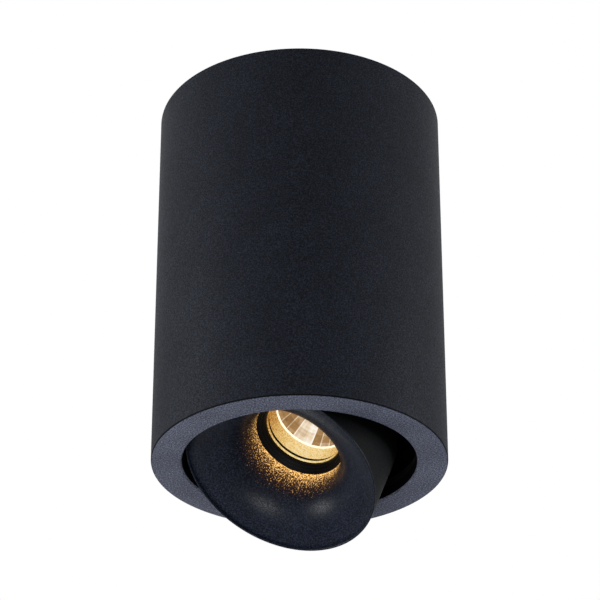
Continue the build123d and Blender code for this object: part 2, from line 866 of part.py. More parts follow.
def bowl(extra):
    """The reflector's inside, or its outside with a wall added: tiers of flat strips.

    The radius squared falls in step with depth, as on a parabola.
    """
    fall = (barrel_r**2 - reflector_base_r**2) / reflector_depth
    tiers = []
    for k in range(reflector_tiers + 1):
        left = reflector_depth * (1 - k / reflector_tiers)
        radius = sqrt(reflector_base_r**2 + fall * left) + extra
        place = Pos(0, 0, reflector_rear - left)
        tiers.append(place * RegularPolygon(radius, reflector_sides))
    return loft(tiers, ruled=True)


def reflector():
    """A bright faceted bowl with a thin round rim that sits in the tube's seat."""
    rim_r = barrel_r + reflector_seat - fit_clearance
    body = bowl(reflector_wall) & rod(rim_r, reflector_front, reflector_rear)
    body += rod(rim_r, reflector_front, reflector_front + reflector_rim)
    return body - bowl(0)


def led_screw_places():
    """The two screws that clamp the light source on the heat sink."""
    return [Pos(0, side * led_screw_circle, 0) for side in (1, -1)]


def led_holder():
    """A moulded ring that clamps the light source flat on the heat sink."""
    body = rod(led_holder_r, holder_front, base_depth)
    width = led_board_width + 2 * fit_clearance
    body -= bar(width, width, board_front, base_depth)
    body -= rod(emitter_r + emitter_gap, holder_front, board_front)
    for place in led_screw_places():
        body -= place * rod(led_screw_r + fit_clearance, holder_front, base_depth)
    return body


keep("anti_glare_ring", head_turn * anti_glare_ring())
keep("optic_tube", head_turn * optic_tube())
keep("reflector", head_turn * reflector())
board_rear = board_front + led_board_thickness
keep("led_board", head_turn * bar(led_board_width, led_board_width, board_front, board_rear))
keep("led_emitter", head_turn * rod(emitter_r, board_front - emitter_thickness, board_front))
keep("led_holder", head_turn * led_holder())
led_screw = Rot(180, 0, 0) * screw(
    led_screw_r,
    led_holder_thickness + led_screw_grip,
    led_screw_head_r,
    led_screw_head,
    socket=False,
)
led_screws_at = [head_turn * place * Pos(0, 0, holder_front) for place in led_screw_places()]
keep("led_screws", group(led_screws_at, led_screw))
keep("thermal_pad", head_turn * bar(led_board_width, led_board_width, board_rear, base_depth))


# ---------------------------------------------------------------- heat sink and the head's lead
def heat_sink():
    """A round base with a hollow core, and straight fins that stand out from it like rays."""
    body = rod(sink_r, base_depth, fin_front)
    body += rod(sink_core_r, fin_front, sink_rear)
    fin_inner = sink_core_r - fin_root
    fin = bar(sink_r - fin_inner, fin_thickness, fin_front, sink_rear)
    for place in around(fin_count, (sink_r + fin_inner) / 2):
        body += place * fin
    body -= rod(lead_bore_r, fin_front, sink_rear)
    body -= rod(lead_r + fit_clearance, base_depth, fin_front)
    for place in sink_screw_places():
        body -= place * rod(sink_screw_r + fit_clearance, base_depth, fin_front)
    for place in led_screw_places():
        body -= place * rod(led_screw_r, base_depth, base_depth + led_screw_grip)
    return body


def lead_grommet():
    """A small tapered rubber sleeve where the lead leaves the heat sink's core."""
    hole = lead_r + lead_clearance
    return turned(
        (hole, sink_rear - lead_grommet_grip),
        (lead_bore_r, sink_rear - lead_grommet_grip),
        (lead_bore_r, sink_rear),
        (lead_bore_r + lead_grommet_flange, sink_rear),
        (lead_bore_r, sink_rear + lead_grommet_stand),
        (hole, sink_rear + lead_grommet_stand),
    )


def head_point(depth):
    """A point on the head's own axis, in the row frame."""
    return tuple((head_turn * Pos(0, 0, depth)).position)


def head_lead():
    """The lead from the lamp head, slack enough for every swing, up to the connector."""
    leave = head_point(sink_rear + lead_straight)
    bend_z = connector_bottom - lead_drop
    back = (lead_swing * leave[0], lead_swing * leave[1], bend_z)
    start = head_point(sink_rear - lead_sink_start)
    return lead([start, leave, back, (0, 0, bend_z), (0, 0, connector_bottom)])


keep("heat_sink", head_turn * heat_sink())
sink_screw = screw(
    sink_screw_r, sink_base + sink_screw_grip, sink_screw_head_r, sink_screw_head, socket=False
)
sink_screws_at = [head_turn * place * Pos(0, 0, fin_front) for place in sink_screw_places()]
keep("heat_sink_screws", group(sink_screws_at, sink_screw))
keep("lead_grommet", head_turn * lead_grommet())
keep("head_lead", head_lead())

# ---------------------------------------------------------------- one file for each node
os.makedirs("parts", exist_ok=True)
for name, shape in nodes.items():
    export_step(shape, f"parts/{name}.step")

half_turn = 180 - degrees(asin(stop_pin_r / stop_pin_place))
half_turn -= degrees(asin(stop_tab_width / 2 / stop_pin_place))
print("the swivel stops at", round(half_turn, 1), "degrees each way")
print("the heat sink's radius is", round(sink_r, 2))
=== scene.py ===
import json
import logging
from dataclasses import dataclass, field
from enum import Enum
from math import cos, pi, radians, sin, sqrt, tan

import bpy
import numpy as np
from mathutils import Euler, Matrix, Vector


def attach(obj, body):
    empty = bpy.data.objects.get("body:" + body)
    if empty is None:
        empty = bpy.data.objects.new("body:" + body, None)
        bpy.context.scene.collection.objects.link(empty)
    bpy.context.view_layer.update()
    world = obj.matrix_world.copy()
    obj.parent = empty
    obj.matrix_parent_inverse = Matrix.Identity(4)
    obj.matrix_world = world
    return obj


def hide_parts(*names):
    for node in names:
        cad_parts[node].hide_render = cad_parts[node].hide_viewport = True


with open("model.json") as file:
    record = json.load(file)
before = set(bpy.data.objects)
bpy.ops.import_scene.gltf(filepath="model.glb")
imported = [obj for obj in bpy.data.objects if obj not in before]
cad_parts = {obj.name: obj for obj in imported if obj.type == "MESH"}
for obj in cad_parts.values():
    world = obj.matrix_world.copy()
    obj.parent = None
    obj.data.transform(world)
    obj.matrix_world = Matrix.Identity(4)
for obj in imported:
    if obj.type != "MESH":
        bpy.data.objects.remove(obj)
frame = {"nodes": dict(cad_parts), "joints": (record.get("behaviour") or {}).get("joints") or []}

# A surface mounted ceiling spotlight, seen from below: the black can, the slate ring at its foot,
# and the lamp head that leans out of the ring and lights up round its throat.
# Sizes are in millimetres until a mesh is made; the scene itself is in metres.

MM = 0.001
SHARP = 32.0  # degrees past which an edge is shaded sharp
log = logging.getLogger("spotlight")
Point = tuple[float, float]
Spot = tuple[float, float, float]
Material = bpy.types.Material
Node = bpy.types.Node
Piece = bpy.types.Object
Socket = bpy.types.NodeSocket
Tree = bpy.types.NodeTree


# ------------------------------------------------------------------ small tools
def linear(hex_colour: str) -> tuple[float, float, float, float]:
    """Turns an sRGB colour into the linear values that a shader takes.

    Args:
        hex_colour: six hex digits, such as "1B1D22".

    Returns:
        Linear red, green and blue, and an alpha of 1.
    """
    parts = [int(hex_colour[i : i + 2], 16) / 255 for i in (0, 2, 4)]
    red, green, blue = [c / 12.92 if c <= 0.04045 else ((c + 0.055) / 1.055) ** 2.4 for c in parts]
    return red, green, blue, 1.0


def per_mm(size_mm: float) -> float:
    """Gives the texture scale, in repeats a metre, of a pattern of that real size."""
    return 1 / (size_mm * MM)


def add_node(
    tree: Tree, kind: str, sockets: dict[int | str, object] | None = None, **settings: object
) -> Node:
    """Adds one shader node with its settings, its socket values and its links.

    Args:
        tree: the node tree that gets it.
        kind: Blender's name for the node type, without the ShaderNode that it starts with.
        sockets: what each input socket holds: a value, or the output socket that feeds it.
        settings: properties of the node itself.

    Returns:
        The new node.
    """
    node = tree.nodes.new("ShaderNode" + kind)
    for key, value in settings.items():
        setattr(node, key, value)
    for key, value in (sockets or {}).items():
        if isinstance(value, Socket):
            tree.links.new(value, node.inputs[key])
        else:
            node.inputs[key].default_value = value
    return node


def ramp(node: Node, stops: list[tuple[float, tuple[float, ...]]]) -> None:
    """Sets a colour ramp's stops.

    Args:
        node: the Color Ramp node.
        stops: place and linear colour of each stop, in rising order.
    """
    marks = node.color_ramp.elements
    while len(marks) < len(stops):
        marks.new(1.0)
    for mark, (place, colour) in zip(marks, stops):
        mark.position = place
        mark.color = colour


# ------------------------------------------------------------------ meshes
@dataclass
class Surface:
    """A closed mesh in millimetres, with the number of the finish on each of its faces."""

    points: np.ndarray
    faces: list[list[int]]
    finish: np.ndarray
    marks: dict[str, np.ndarray] = field(default_factory=dict)
    face_marks: dict[str, np.ndarray] = field(default_factory=dict)


@dataclass(frozen=True)
class Place:
    """An upright or tilted drawing frame: an origin in millimetres and three unit axes."""

    origin: Spot = (0.0, 0.0, 0.0)
    along_x: Spot = (1.0, 0.0, 0.0)
    along_y: Spot = (0.0, 1.0, 0.0)
    along_z: Spot = (0.0, 0.0, 1.0)

    def to_row(self, points: np.ndarray) -> np.ndarray:
        """Moves points to the row frame: origin + x * X + y * Y + z * Z, then to metres."""
        axes = np.array([self.along_x, self.along_y, self.along_z])
        return (np.array(self.origin) + points @ axes) * MM

    def drawn(self, surface: Surface) -> Surface:
        """Gives a surface drawn in this frame in the frame that this one is stated in."""
        return Surface(self.to_row(surface.points) / MM, surface.faces, surface.finish)

    def facing(self, axis: str, sign: int) -> "Place":
        """Gives a frame whose Z points along one of this frame's axes.

        Args:
            axis: "x" or "y", the axis that the new Z follows.
            sign: 1 to point along it, -1 to point back.

        Returns:
            A right-handed frame at the same origin.
        """
        new_z = np.array(self.along_x if axis == "x" else self.along_y) * sign
        new_x = np.array(self.along_z)
        return Place(self.origin, tuple(new_x), tuple(np.cross(new_z, new_x)), tuple(new_z))


def head_place() -> Place:
    """Works out the lamp head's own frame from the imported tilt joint.

    The tilt joint's axis is level and at right angles to the beam's heading u, and its lower
    limit undoes the tilt t that the head is stored at. The head's frame is upright at the lip's
    centre, turned about the pivot by t: X = cos t * u + sin t * z and Z = cos t * z - sin t * u.

    Returns:
        The frame, with its origin in the middle of the lip and Z towards the heat sink.
    """
    joint = next(j for j in frame["joints"] if j["name"] == "tilt")
    up = np.array([0.0, 0.0, 1.0])
    heading = np.cross(up, np.array(joint["axis"]))
    heading /= np.linalg.norm(heading)
    tilt = radians(-joint["range_deg"][0])
    pivot = np.array(joint["pos_m"]) / MM
    along_x = cos(tilt) * heading + sin(tilt) * up
    along_z = cos(tilt) * up - sin(tilt) * heading
    origin = pivot - (pivot @ heading) * along_x - (pivot[2] + Can.height) * along_z
    return Place(tuple(origin), tuple(along_x), tuple(np.cross(along_z, along_x)), tuple(along_z))


def joined(surfaces: list[Surface]) -> Surface:
    """Puts several surfaces into one, and keeps each of them closed in itself.

    Args:
        surfaces: the surfaces, without marks.

    Returns:
        One surface.
    """
    starts = np.cumsum([0] + [len(s.points) for s in surfaces])
    faces = [[int(start) + i for i in f] for start, s in zip(starts, surfaces) for f in s.faces]
    return Surface(
        np.vstack([s.points for s in surfaces]), faces, np.concatenate([s.finish for s in surfaces])
    )


def outline(corners: list[Spot], steps: int = 4) -> np.ndarray:
    """Rounds the corners of a closed outline.

    A corner P with rounding d is replaced by the arc that touches both of its sides: with unit
    vectors a and b along them and half their angle h, the arc's centre is P + d / sin h along
    a + b, and it touches the sides at d / tan h from P.

    Args:
        corners: (radius, height, rounding) of each corner, in order.
        steps: segments in each rounded corner.

    Returns:
        The outline's points as an array of (radius, height) rows.
    """
    spots = np.array([c[:2] for c in corners])
    share = np.linspace(0, 1, steps + 1)[:, None]
    found = []
    for k, (_, _, rounding) in enumerate(corners):
        here = spots[k]
        if rounding <= 0:
            found.append(here[None, :])
            continue
        back, ahead = spots[k - 1] - here, spots[(k + 1) % len(spots)] - here
        back, ahead = back / np.linalg.norm(back), ahead / np.linalg.norm(ahead)
        half = 0.5 * np.arccos(np.clip(back @ ahead, -1, 1))
        middle = (back + ahead) / np.linalg.norm(back + ahead)
        centre = here + middle * rounding / np.sin(half)
        first = here + back * rounding / np.tan(half) - centre
        last = here + ahead * rounding / np.tan(half) - centre
        sweep = pi - 2 * half
        bend = (np.sin((1 - share) * sweep) * first + np.sin(share * sweep) * last) / np.sin(sweep)
        found.append(centre + bend)
    return np.vstack(found)


def arc(centre: Point, radius: float, start: float, end: float, steps: int) -> np.ndarray:
    """Gives points on an arc: centre + radius * (cos a, sin a), a going from start to end.

    Args:
        centre: (radius, height) of the arc's centre.
        radius: the arc's own radius.
        start: first angle in degrees, counted from the outward direction.
        end: last angle in degrees.
        steps: segments.

    Returns:
        An array of (radius, height) rows.
    """
    turn = np.radians(np.linspace(start, end, steps + 1))
    return np.array(centre) + radius * np.stack([np.cos(turn), np.sin(turn)], axis=1)


def polygon_share(turn: np.ndarray, sides: int) -> np.ndarray:
    """Gives a regular polygon's radius at each angle, as a share of its corner radius: with
    p = pi / sides, and q the angle to the middle of the nearest side, it is cos p / cos q."""
    half = pi / sides
    return cos(half) / np.cos(np.mod(turn, 2 * half) - half)


def turned(
    rows: np.ndarray,
    segments: int,
    closed: bool = True,
    sides: np.ndarray | None = None,
    side_count: int = 6,
    finish: np.ndarray | None = None,
) -> Surface:
    """Turns an outline about Z.

    Row i and angle a give the point (r * s * cos a, r * s * sin a, z), where r and z are the
    row's radius and height. s is 1 on a round row, and the polygon's share on a polygonal one.

    Args:
        rows: (radius, height) of each row of the outline.
        segments: steps round the axis.
        closed: whether the last row joins the first; if not, a flat face closes each end.
        sides: for each row, 1 where it is polygonal and 0 where it is round.
        side_count: the polygon's number of sides.
        finish: for each row, the number of the finish on the band that starts there.

    Returns:
        The closed surface, its faces outwards.
    """
    rows = np.asarray(rows, float)
    following = np.roll(rows, -1, axis=0)
    flip = np.sum(rows[:, 0] * following[:, 1] - following[:, 0] * rows[:, 1]) < 0
    turn = np.linspace(0, 2 * pi, segments, endpoint=False)
    shape = np.ones((len(rows), segments))
    if sides is not None:
        shape = 1 + np.asarray(sides)[:, None] * (polygon_share(turn, side_count) - 1)[None, :]
    radius = rows[:, :1] * shape
    height = np.repeat(rows[:, 1:], segments, axis=1)
    points = np.stack([radius * np.cos(turn), radius * np.sin(turn), height], axis=2).reshape(-1, 3)
    bands = len(rows) if closed else len(rows) - 1
    i, j = np.meshgrid(np.arange(bands), np.arange(segments), indexing="ij")
    below, above = i * segments, ((i + 1) % len(rows)) * segments
    ahead = (j + 1) % segments
    quads = np.stack([below + j, below + ahead, above + ahead, above + j], axis=2).reshape(-1, 4)
    bands_finish = np.zeros(bands, int) if finish is None else np.asarray(finish)[:bands]
    numbers = np.repeat(bands_finish, segments)
    faces = (quads[:, ::-1] if flip else quads).tolist()
    if not closed:
        ring = np.arange(segments)
        caps = [ring[::-1].tolist(), (ring + (len(rows) - 1) * segments).tolist()]
        faces += [cap[::-1] for cap in caps] if flip else caps
        numbers = np.append(numbers, [bands_finish[0], bands_finish[-1]])
    return Surface(points, faces, numbers)


def plate(face: np.ndarray, half: float) -> Surface:
    """Gives a flat outline in the XZ plane a thickness, from y = -half to y = half.

    Args:
        face: (x, z) of each corner, in order.
        half: half of the thickness.

    Returns:
        The closed prism, its faces outwards.
    """
    count = len(face)
    near = np.column_stack([face[:, 0], np.full(count, -half), face[:, 1]])
    far = near * [1, -1, 1]
    ring = np.arange(count)
    ahead = (ring + 1) % count
    walls = np.stack([ring, ring + count, ahead + count, ahead], axis=1)
    faces = [ring.tolist(), (ring[::-1] + count).tolist()] + walls.tolist()
    following = face[ahead]
    if np.sum(face[:, 0] * following[:, 1] - following[:, 0] * face[:, 1]) < 0:
        faces = [f[::-1] for f in faces]
    return Surface(np.vstack([near, far]), faces, np.zeros(len(faces), int))


def about_z(surface: Surface, degrees: float) -> Surface:
    """Turns a surface about Z: x' = x cos a - y sin a and y' = x sin a + y cos a.

    Args:
        surface: the surface, without marks.
        degrees: the angle a.

    Returns:
        The turned surface.
    """
    a = radians(degrees)
    turn = np.array([[cos(a), sin(a), 0], [-sin(a), cos(a), 0], [0, 0, 1]])
    return Surface(surface.points @ turn, surface.faces, surface.finish)


def make_piece(
    name: str, surface: Surface, place: Place, finishes: list[Material], sharp: float = SHARP
) -> Piece:
    """Makes a mesh object from a surface, at the origin, with its place in its mesh.

    Args:
        name: the piece's name.
        surface: the closed surface in millimetres.
        place: the frame that the surface is drawn in.
        finishes: the materials that the surface's finish numbers stand for.
        sharp: the angle in degrees past which an edge is shaded sharp.

    Returns:
        The object, linked to the scene.
    """
    mesh = bpy.data.meshes.new(name)
    mesh.from_pydata(place.to_row(surface.points).tolist(), [], surface.faces)
    for finish in finishes:
        mesh.materials.append(finish)
    mesh.polygons.foreach_set("material_index", surface.finish.astype(np.int32))
    for domain, marks in (("POINT", surface.marks), ("FACE", surface.face_marks)):
        for mark, values in marks.items():
            layer = mesh.attributes.new(mark, "FLOAT", domain)
            layer.data.foreach_set("value", values.astype(np.float32))
    mesh.update()
    mesh.shade_smooth()
    mesh.set_sharp_from_angle(angle=radians(sharp))
    piece = bpy.data.objects.new(name, mesh)
    bpy.context.scene.collection.objects.link(piece)
    return piece


def settle(piece: Piece, body: str, slot: str, *nodes: str) -> None:
    """Puts a piece on its body, and lets it stand for its CAD nodes.

    Args:
        piece: the piece.
        body: the body that carries it.
        slot: its material slot in the record; not used.
        nodes: the CAD nodes that it replaces.
    """
    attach(piece, body)
    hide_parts(*nodes)
    log.info("%s: %d faces, for %s", piece.name, len(piece.data.polygons), ", ".join(nodes))


def dress(names: list[str], finish: Material) -> None:
    """Gives CAD nodes a finish, in the slots that they have.

    Args:
        names: the nodes' names.
        finish: the material.
    """
    for name in names:
        node = frame["nodes"][name]
        if not node.material_slots:
            node.data.materials.append(finish)
        for slot in node.material_slots:
            slot.material = finish
        log.info("%s: finished in %s", name, finish.name)


# ------------------------------------------------------------------ kinds of finish
@dataclass(frozen=True)
class Finish:
    """What every finish has: a name, and the shader that its nodes feed."""

    name: str

    def start(self) -> tuple[Material, Tree, Socket]:
        """Makes the empty material.

        Returns:
            The material, its node tree, and the socket that gives Object coordinates.
        """
        material = bpy.data.materials.new(self.name)
        material.use_nodes = True
        tree = material.node_tree
        tree.nodes.clear()
        return material, tree, add_node(tree, "TexCoord").outputs["Object"]

    def close(
        self, tree: Tree, colour: Socket, rough: Socket, height: Socket, depth: float, **fixed: float
    ) -> Node:
        """Adds the bump, the shader and the output.

        Args:
            tree: the material's node tree.
            colour: the socket that gives the colour.
            rough: the socket that gives the roughness.
            height: the socket that gives the surface's height, from 0 to 1.
            depth: what a height of 1 stands for, in millimetres.
            fixed: values of the shader's own sockets, with _ for each space in a name.

        Returns:
            The shader node.
        """
        bump = add_node(tree, "Bump", {"Height": height, "Distance": depth * MM, "Strength": 1.0})
        sockets = {key.replace("_", " "): value for key, value in fixed.items()}
        sockets |= {"Base Color": colour, "Roughness": rough, "Normal": bump.outputs[0]}
        shader = add_node(tree, "BsdfPrincipled", sockets)
        add_node(tree, "OutputMaterial", {"Surface": shader.outputs[0]})
        return shader

    def light_up(self, tree: Tree, shader: Node, colour: Socket, power: float) -> None:
        """Lets the surface shine in a colour, which stands for the lamp's light that falls on it."""
        tree.links.new(colour, shader.inputs["Emission Color"])
        shader.inputs["Emission Strength"].default_value = power


@dataclass(frozen=True)
class PowderCoat(Finish):
    """Sand-textured polyester powder coat on aluminium: a dead matt skin of fine hard grains.

    Real grains are 0.1 to 0.2 mm; they are drawn at about half a millimetre, so that they show.
    """

    colour: str
    grit_colour: str
    grain: float = 0.45
    grit_share: float = 0.5
    cloud: float = 14.0
    roughness: float = 0.62
    depth: float = 0.03
    shine: float = 0.2
    # glow, spark, glow_colour and ember_colour paint the lamp's spill on the grains as emission: painted
    # light.
    glow: float = 0.0
    spark: float = 0.4
    glow_colour: str = "FFC673"
    ember_colour: str = "7A4410"

    def build(self) -> Material:
        """Builds the material: grit over the coat's colour, in soft clouds, and glossier on a grain.

        Returns:
            The material.
        """
        material, tree, spots = self.start()
        sand = {"Vector": spots, "Scale": per_mm(self.grain), "Detail": 2.0, "Roughness": 0.6}
        grains = add_node(tree, "TexNoise", sand).outputs["Fac"]
        cloud = add_node(tree, "TexNoise", {"Vector": spots, "Scale": per_mm(self.cloud), "Detail": 3.0})
        grit = add_node(tree, "ValToRGB", {"Fac": grains})
        ramp(grit, [(0.42, (0, 0, 0, 1)), (0.72, (1, 1, 1, 1))])
        amount = add_node(tree, "Math", {0: grit.outputs[0], 1: self.grit_share}, operation="MULTIPLY")
        mottled = add_node(
            tree,
            "MapRange",
            {"Value": cloud.outputs["Fac"], "From Min": 0.3, "From Max": 0.7, "To Min": 0.82, "To Max": 1.12},
        )
        both = {"Factor": amount.outputs[0], 6: linear(self.colour), 7: linear(self.grit_colour)}
        coat = add_node(tree, "Mix", both, data_type="RGBA")
        clouded = {"Factor": 1.0, 6: coat.outputs[2], 7: mottled.outputs[0]}
        colour = add_node(tree, "Mix", clouded, data_type="RGBA", blend_type="MULTIPLY")
        dull, glossy = self.roughness + 0.1, self.roughness - 0.08
        rough = add_node(
            tree,
            "MapRange",
            {"Value": grains, "From Min": 0.3, "From Max": 0.7, "To Min": dull, "To Max": glossy},
        )
        shader = self.close(
            tree, colour.outputs[2], rough.outputs[0], grains, self.depth, Specular_IOR_Level=self.shine
        )
        # Painted light: the lamp's spill on the grains near the throat.
        if self.glow > 0:
            self.paint_spill_light(tree, spots, shader)
        return material

    def paint_spill_light(self, tree: Tree, spots: Socket, shader: Node) -> None:
        """Paints the lamp's spill on the grains near the throat, one by one, as emission: painted light.

        A grain glows where fine noise is over a limit, and the limit rises as the surface's own
        "glow" mark falls, so the painted gold is dense at the throat and thins out to single sparks.
        Under the sparks lies a soft painted haze, which goes with the square of the mark.

        Args:
            tree: the material's node tree.
            spots: the socket that gives Object coordinates.
            shader: the shader node.
        """
        mark = add_node(tree, "Attribute", attribute_name="glow").outputs["Fac"]
        fine = {"Vector": spots, "Scale": per_mm(self.spark), "Detail": 1.0, "Roughness": 0.5}
        sparks = add_node(tree, "TexNoise", fine)
        limit = add_node(tree, "MapRange", {"Value": mark, "To Min": 0.66, "To Max": 0.355})
        above = {0: sparks.outputs["Fac"], 1: limit.outputs[0]}
        over = add_node(tree, "Math", above, operation="SUBTRACT")
        lit = add_node(
            tree,
            "MapRange",
            {"Value": over.outputs[0], "From Max": 0.22},
            interpolation_type="SMOOTHSTEP",
        )
        tone = add_node(tree, "ValToRGB", {"Fac": lit.outputs[0]})
        ramp(tone, [(0.0, linear(self.ember_colour)), (0.95, linear(self.glow_colour))])
        tree.links.new(tone.outputs[0], shader.inputs["Emission Color"])
        near = add_node(tree, "Math", {0: mark, 1: 2.0}, operation="POWER")
        haze = add_node(tree, "Math", {0: near.outputs[0], 1: 0.4 * self.glow}, operation="MULTIPLY")
        reach = add_node(tree, "Math", {0: mark, 1: 0.5}, operation="POWER")
        sparkle = add_node(tree, "Math", {0: lit.outputs[0], 1: reach.outputs[0]}, operation="MULTIPLY")
        total = {0: sparkle.outputs[0], 1: 0.9 * self.glow, 2: haze.outputs[0]}
        strength = add_node(tree, "Math", total, operation="MULTIPLY_ADD")
        tree.links.new(strength.outputs[0], shader.inputs["Emission Strength"])


@dataclass(frozen=True)
class Moulded(Finish):
    """Injection-moulded plastic or rubber: an even, slightly soft skin with a fine spark-eroded grain."""

    colour: str
    roughness: float = 0.45
    grain: float = 0.3
    flow: float = 9.0
    depth: float = 0.01
    shine: float = 0.4
    drift: float = 0.06

    def build(self) -> Material:
        """Builds the material: a colour that drifts a little as the melt flowed, under the grain.

        Returns:
            The material.
        """
        material, tree, spots = self.start()
        fine = {"Vector": spots, "Scale": per_mm(self.grain), "Detail": 3.0, "Roughness": 0.55}
        skin = add_node(tree, "TexNoise", fine).outputs["Fac"]
        flow = add_node(tree, "TexNoise", {"Vector": spots, "Scale": per_mm(self.flow), "Detail": 2.0})
        drift = {"Value": flow.outputs["Fac"], "To Min": 1 - self.drift, "To Max": 1 + self.drift}
        shade = add_node(tree, "MapRange", drift)
        shaded = {"Factor": 1.0, 6: linear(self.colour), 7: shade.outputs[0]}
        colour = add_node(tree, "Mix", shaded, data_type="RGBA", blend_type="MULTIPLY")
        spread = {"Value": skin, "To Min": self.roughness - 0.08, "To Max": self.roughness + 0.08}
        rough = add_node(tree, "MapRange", spread).outputs[0]
        self.close(tree, colour.outputs[2], rough, skin, self.depth, Specular_IOR_Level=self.shine)
        return material


class Grain(Enum):
    """How a metal's surface was made, as the stretch of its fine marks along X, Y and Z."""

    PLATED = (1.0, 1.0, 1.0)
    EXTRUDED = (1.0, 1.0, 0.04)


@dataclass(frozen=True)
class Metal(Finish):
    """Bare or plated metal: its colour is its reflection, clouded by a fine film and by tool marks."""

    colour: str
    dull_colour: str
    roughness: float = 0.3
    marks: float = 0.5
    film: float = 9.0
    grain: Grain = Grain.PLATED
    depth: float = 0.006

    def build(self) -> Material:
        """Builds the material: bright to dull where film and marks meet.

        Returns:
            The material.
        """
        material, tree, spots = self.start()
        drawn = add_node(tree, "Mapping", {"Vector": spots, "Scale": self.grain.value}).outputs[0]
        tool = {"Vector": drawn, "Scale": per_mm(self.marks), "Detail": 3.0}
        lines = add_node(tree, "TexNoise", tool).outputs["Fac"]
        film = add_node(tree, "TexNoise", {"Vector": spots, "Scale": per_mm(self.film), "Detail": 4.0})
        share = add_node(tree, "Math", {0: film.outputs["Fac"], 1: lines}, operation="MULTIPLY")
        both = {"Factor": share.outputs[0], 6: linear(self.colour), 7: linear(self.dull_colour)}
        colour = add_node(tree, "Mix", both, data_type="RGBA")
        spread = {"Value": lines, "To Min": self.roughness - 0.1, "To Max": self.roughness + 0.12}
        rough = add_node(tree, "MapRange", spread).outputs[0]
        self.close(tree, colour.outputs[2], rough, lines, self.depth, Metallic=1.0)
        return material


@dataclass(frozen=True)
class LitSkin(Finish):
    """A skin with the lamp's light painted on it: it shines by itself, sandy, in tones along a ramp, as
    painted light rather than a lamp.

    The place on the ramp is share * noise + mark, where the mark is the mesh's own attribute.
    """

    tones: tuple[tuple[float, str], ...]
    power: float = 1.0
    mark: str = "lit"
    share: float = 1.0
    grain: float = 0.5
    detail: float = 2.0
    coarseness: float = 0.7
    depth: float = 0.02
    base: float = 0.3
    rough: Point = (0.5, 0.7)
    shine: float = 0.2
    metallic: float = 0.0

    def build(self) -> Material:
        """Builds the material: the tone is its painted light and, dimmed to the base, its colour.

        Returns:
            The material.
        """
        material, tree, spots = self.start()
        sand = {"Vector": spots, "Scale": per_mm(self.grain), "Detail": self.detail}
        noise = add_node(tree, "TexNoise", sand | {"Roughness": self.coarseness}).outputs["Fac"]
        mark = add_node(tree, "Attribute", attribute_name=self.mark)
        sum_of_both = {0: noise, 1: self.share, 2: mark.outputs["Fac"]}
        level = add_node(tree, "Math", sum_of_both, operation="MULTIPLY_ADD")
        tone = add_node(tree, "ValToRGB", {"Fac": level.outputs[0]})
        ramp(tone, [(place, linear(colour)) for place, colour in self.tones])
        low, high = self.rough
        rough = add_node(tree, "MapRange", {"Value": noise, "To Min": low, "To Max": high}).outputs[0]
        dimmed = {"Factor": 1.0, 6: tone.outputs[0], 7: (self.base, self.base, self.base, 1)}
        dark = add_node(tree, "Mix", dimmed, data_type="RGBA", blend_type="MULTIPLY").outputs[2]
        fixed = {"Specular_IOR_Level": self.shine, "Metallic": self.metallic}
        shader = self.close(tree, dark, rough, noise, self.depth, **fixed)
        self.light_up(tree, shader, tone.outputs[0], self.power)
        return material


@dataclass(frozen=True)
class MirrorFacets(LitSkin):
    """Vapour-metallised reflector with painted reflections: each flat strip is painted, in colour and
    emission, with the stretch of the bright bowl that it would mirror.

    The strip's own "tone" mark picks how much of the lamp's painted reflection it shows, from tan to near
    white.
    """

    power: float = 0.9
    mark: str = "tone"
    share: float = 0.35
    grain: float = 1.6
    detail: float = 3.0
    coarseness: float = 0.5
    depth: float = 0.004
    base: float = 0.2
    rough: Point = (0.05, 0.2)
    shine: float = 0.5
    metallic: float = 1.0


@dataclass(frozen=True)
class Phosphor(Finish):
    """A light source's phosphor under clear silicone, over chips at an even pitch."""

    colour: str
    hot_colour: str
    power: float = 2.5
    pitch: float = 0.9

    def build(self) -> Material:
        """Builds the material: each chip is hot in its middle.

        Returns:
            The material.
        """
        material, tree, spots = self.start()
        cells = {"Vector": spots, "Scale": per_mm(self.pitch), "Randomness": 0.1}
        chips = add_node(tree, "TexVoronoi", cells, feature="F1").outputs["Distance"]
        tone = add_node(tree, "ValToRGB", {"Fac": chips})
        ramp(tone, [(0.1, linear(self.hot_colour)), (0.6, linear(self.colour))])
        rough = add_node(tree, "MapRange", {"Value": chips, "To Min": 0.2, "To Max": 0.4}).outputs[0]
        shader = self.close(tree, tone.outputs[0], rough, chips, 0.02)
        self.light_up(tree, shader, tone.outputs[0], self.power)
        return material


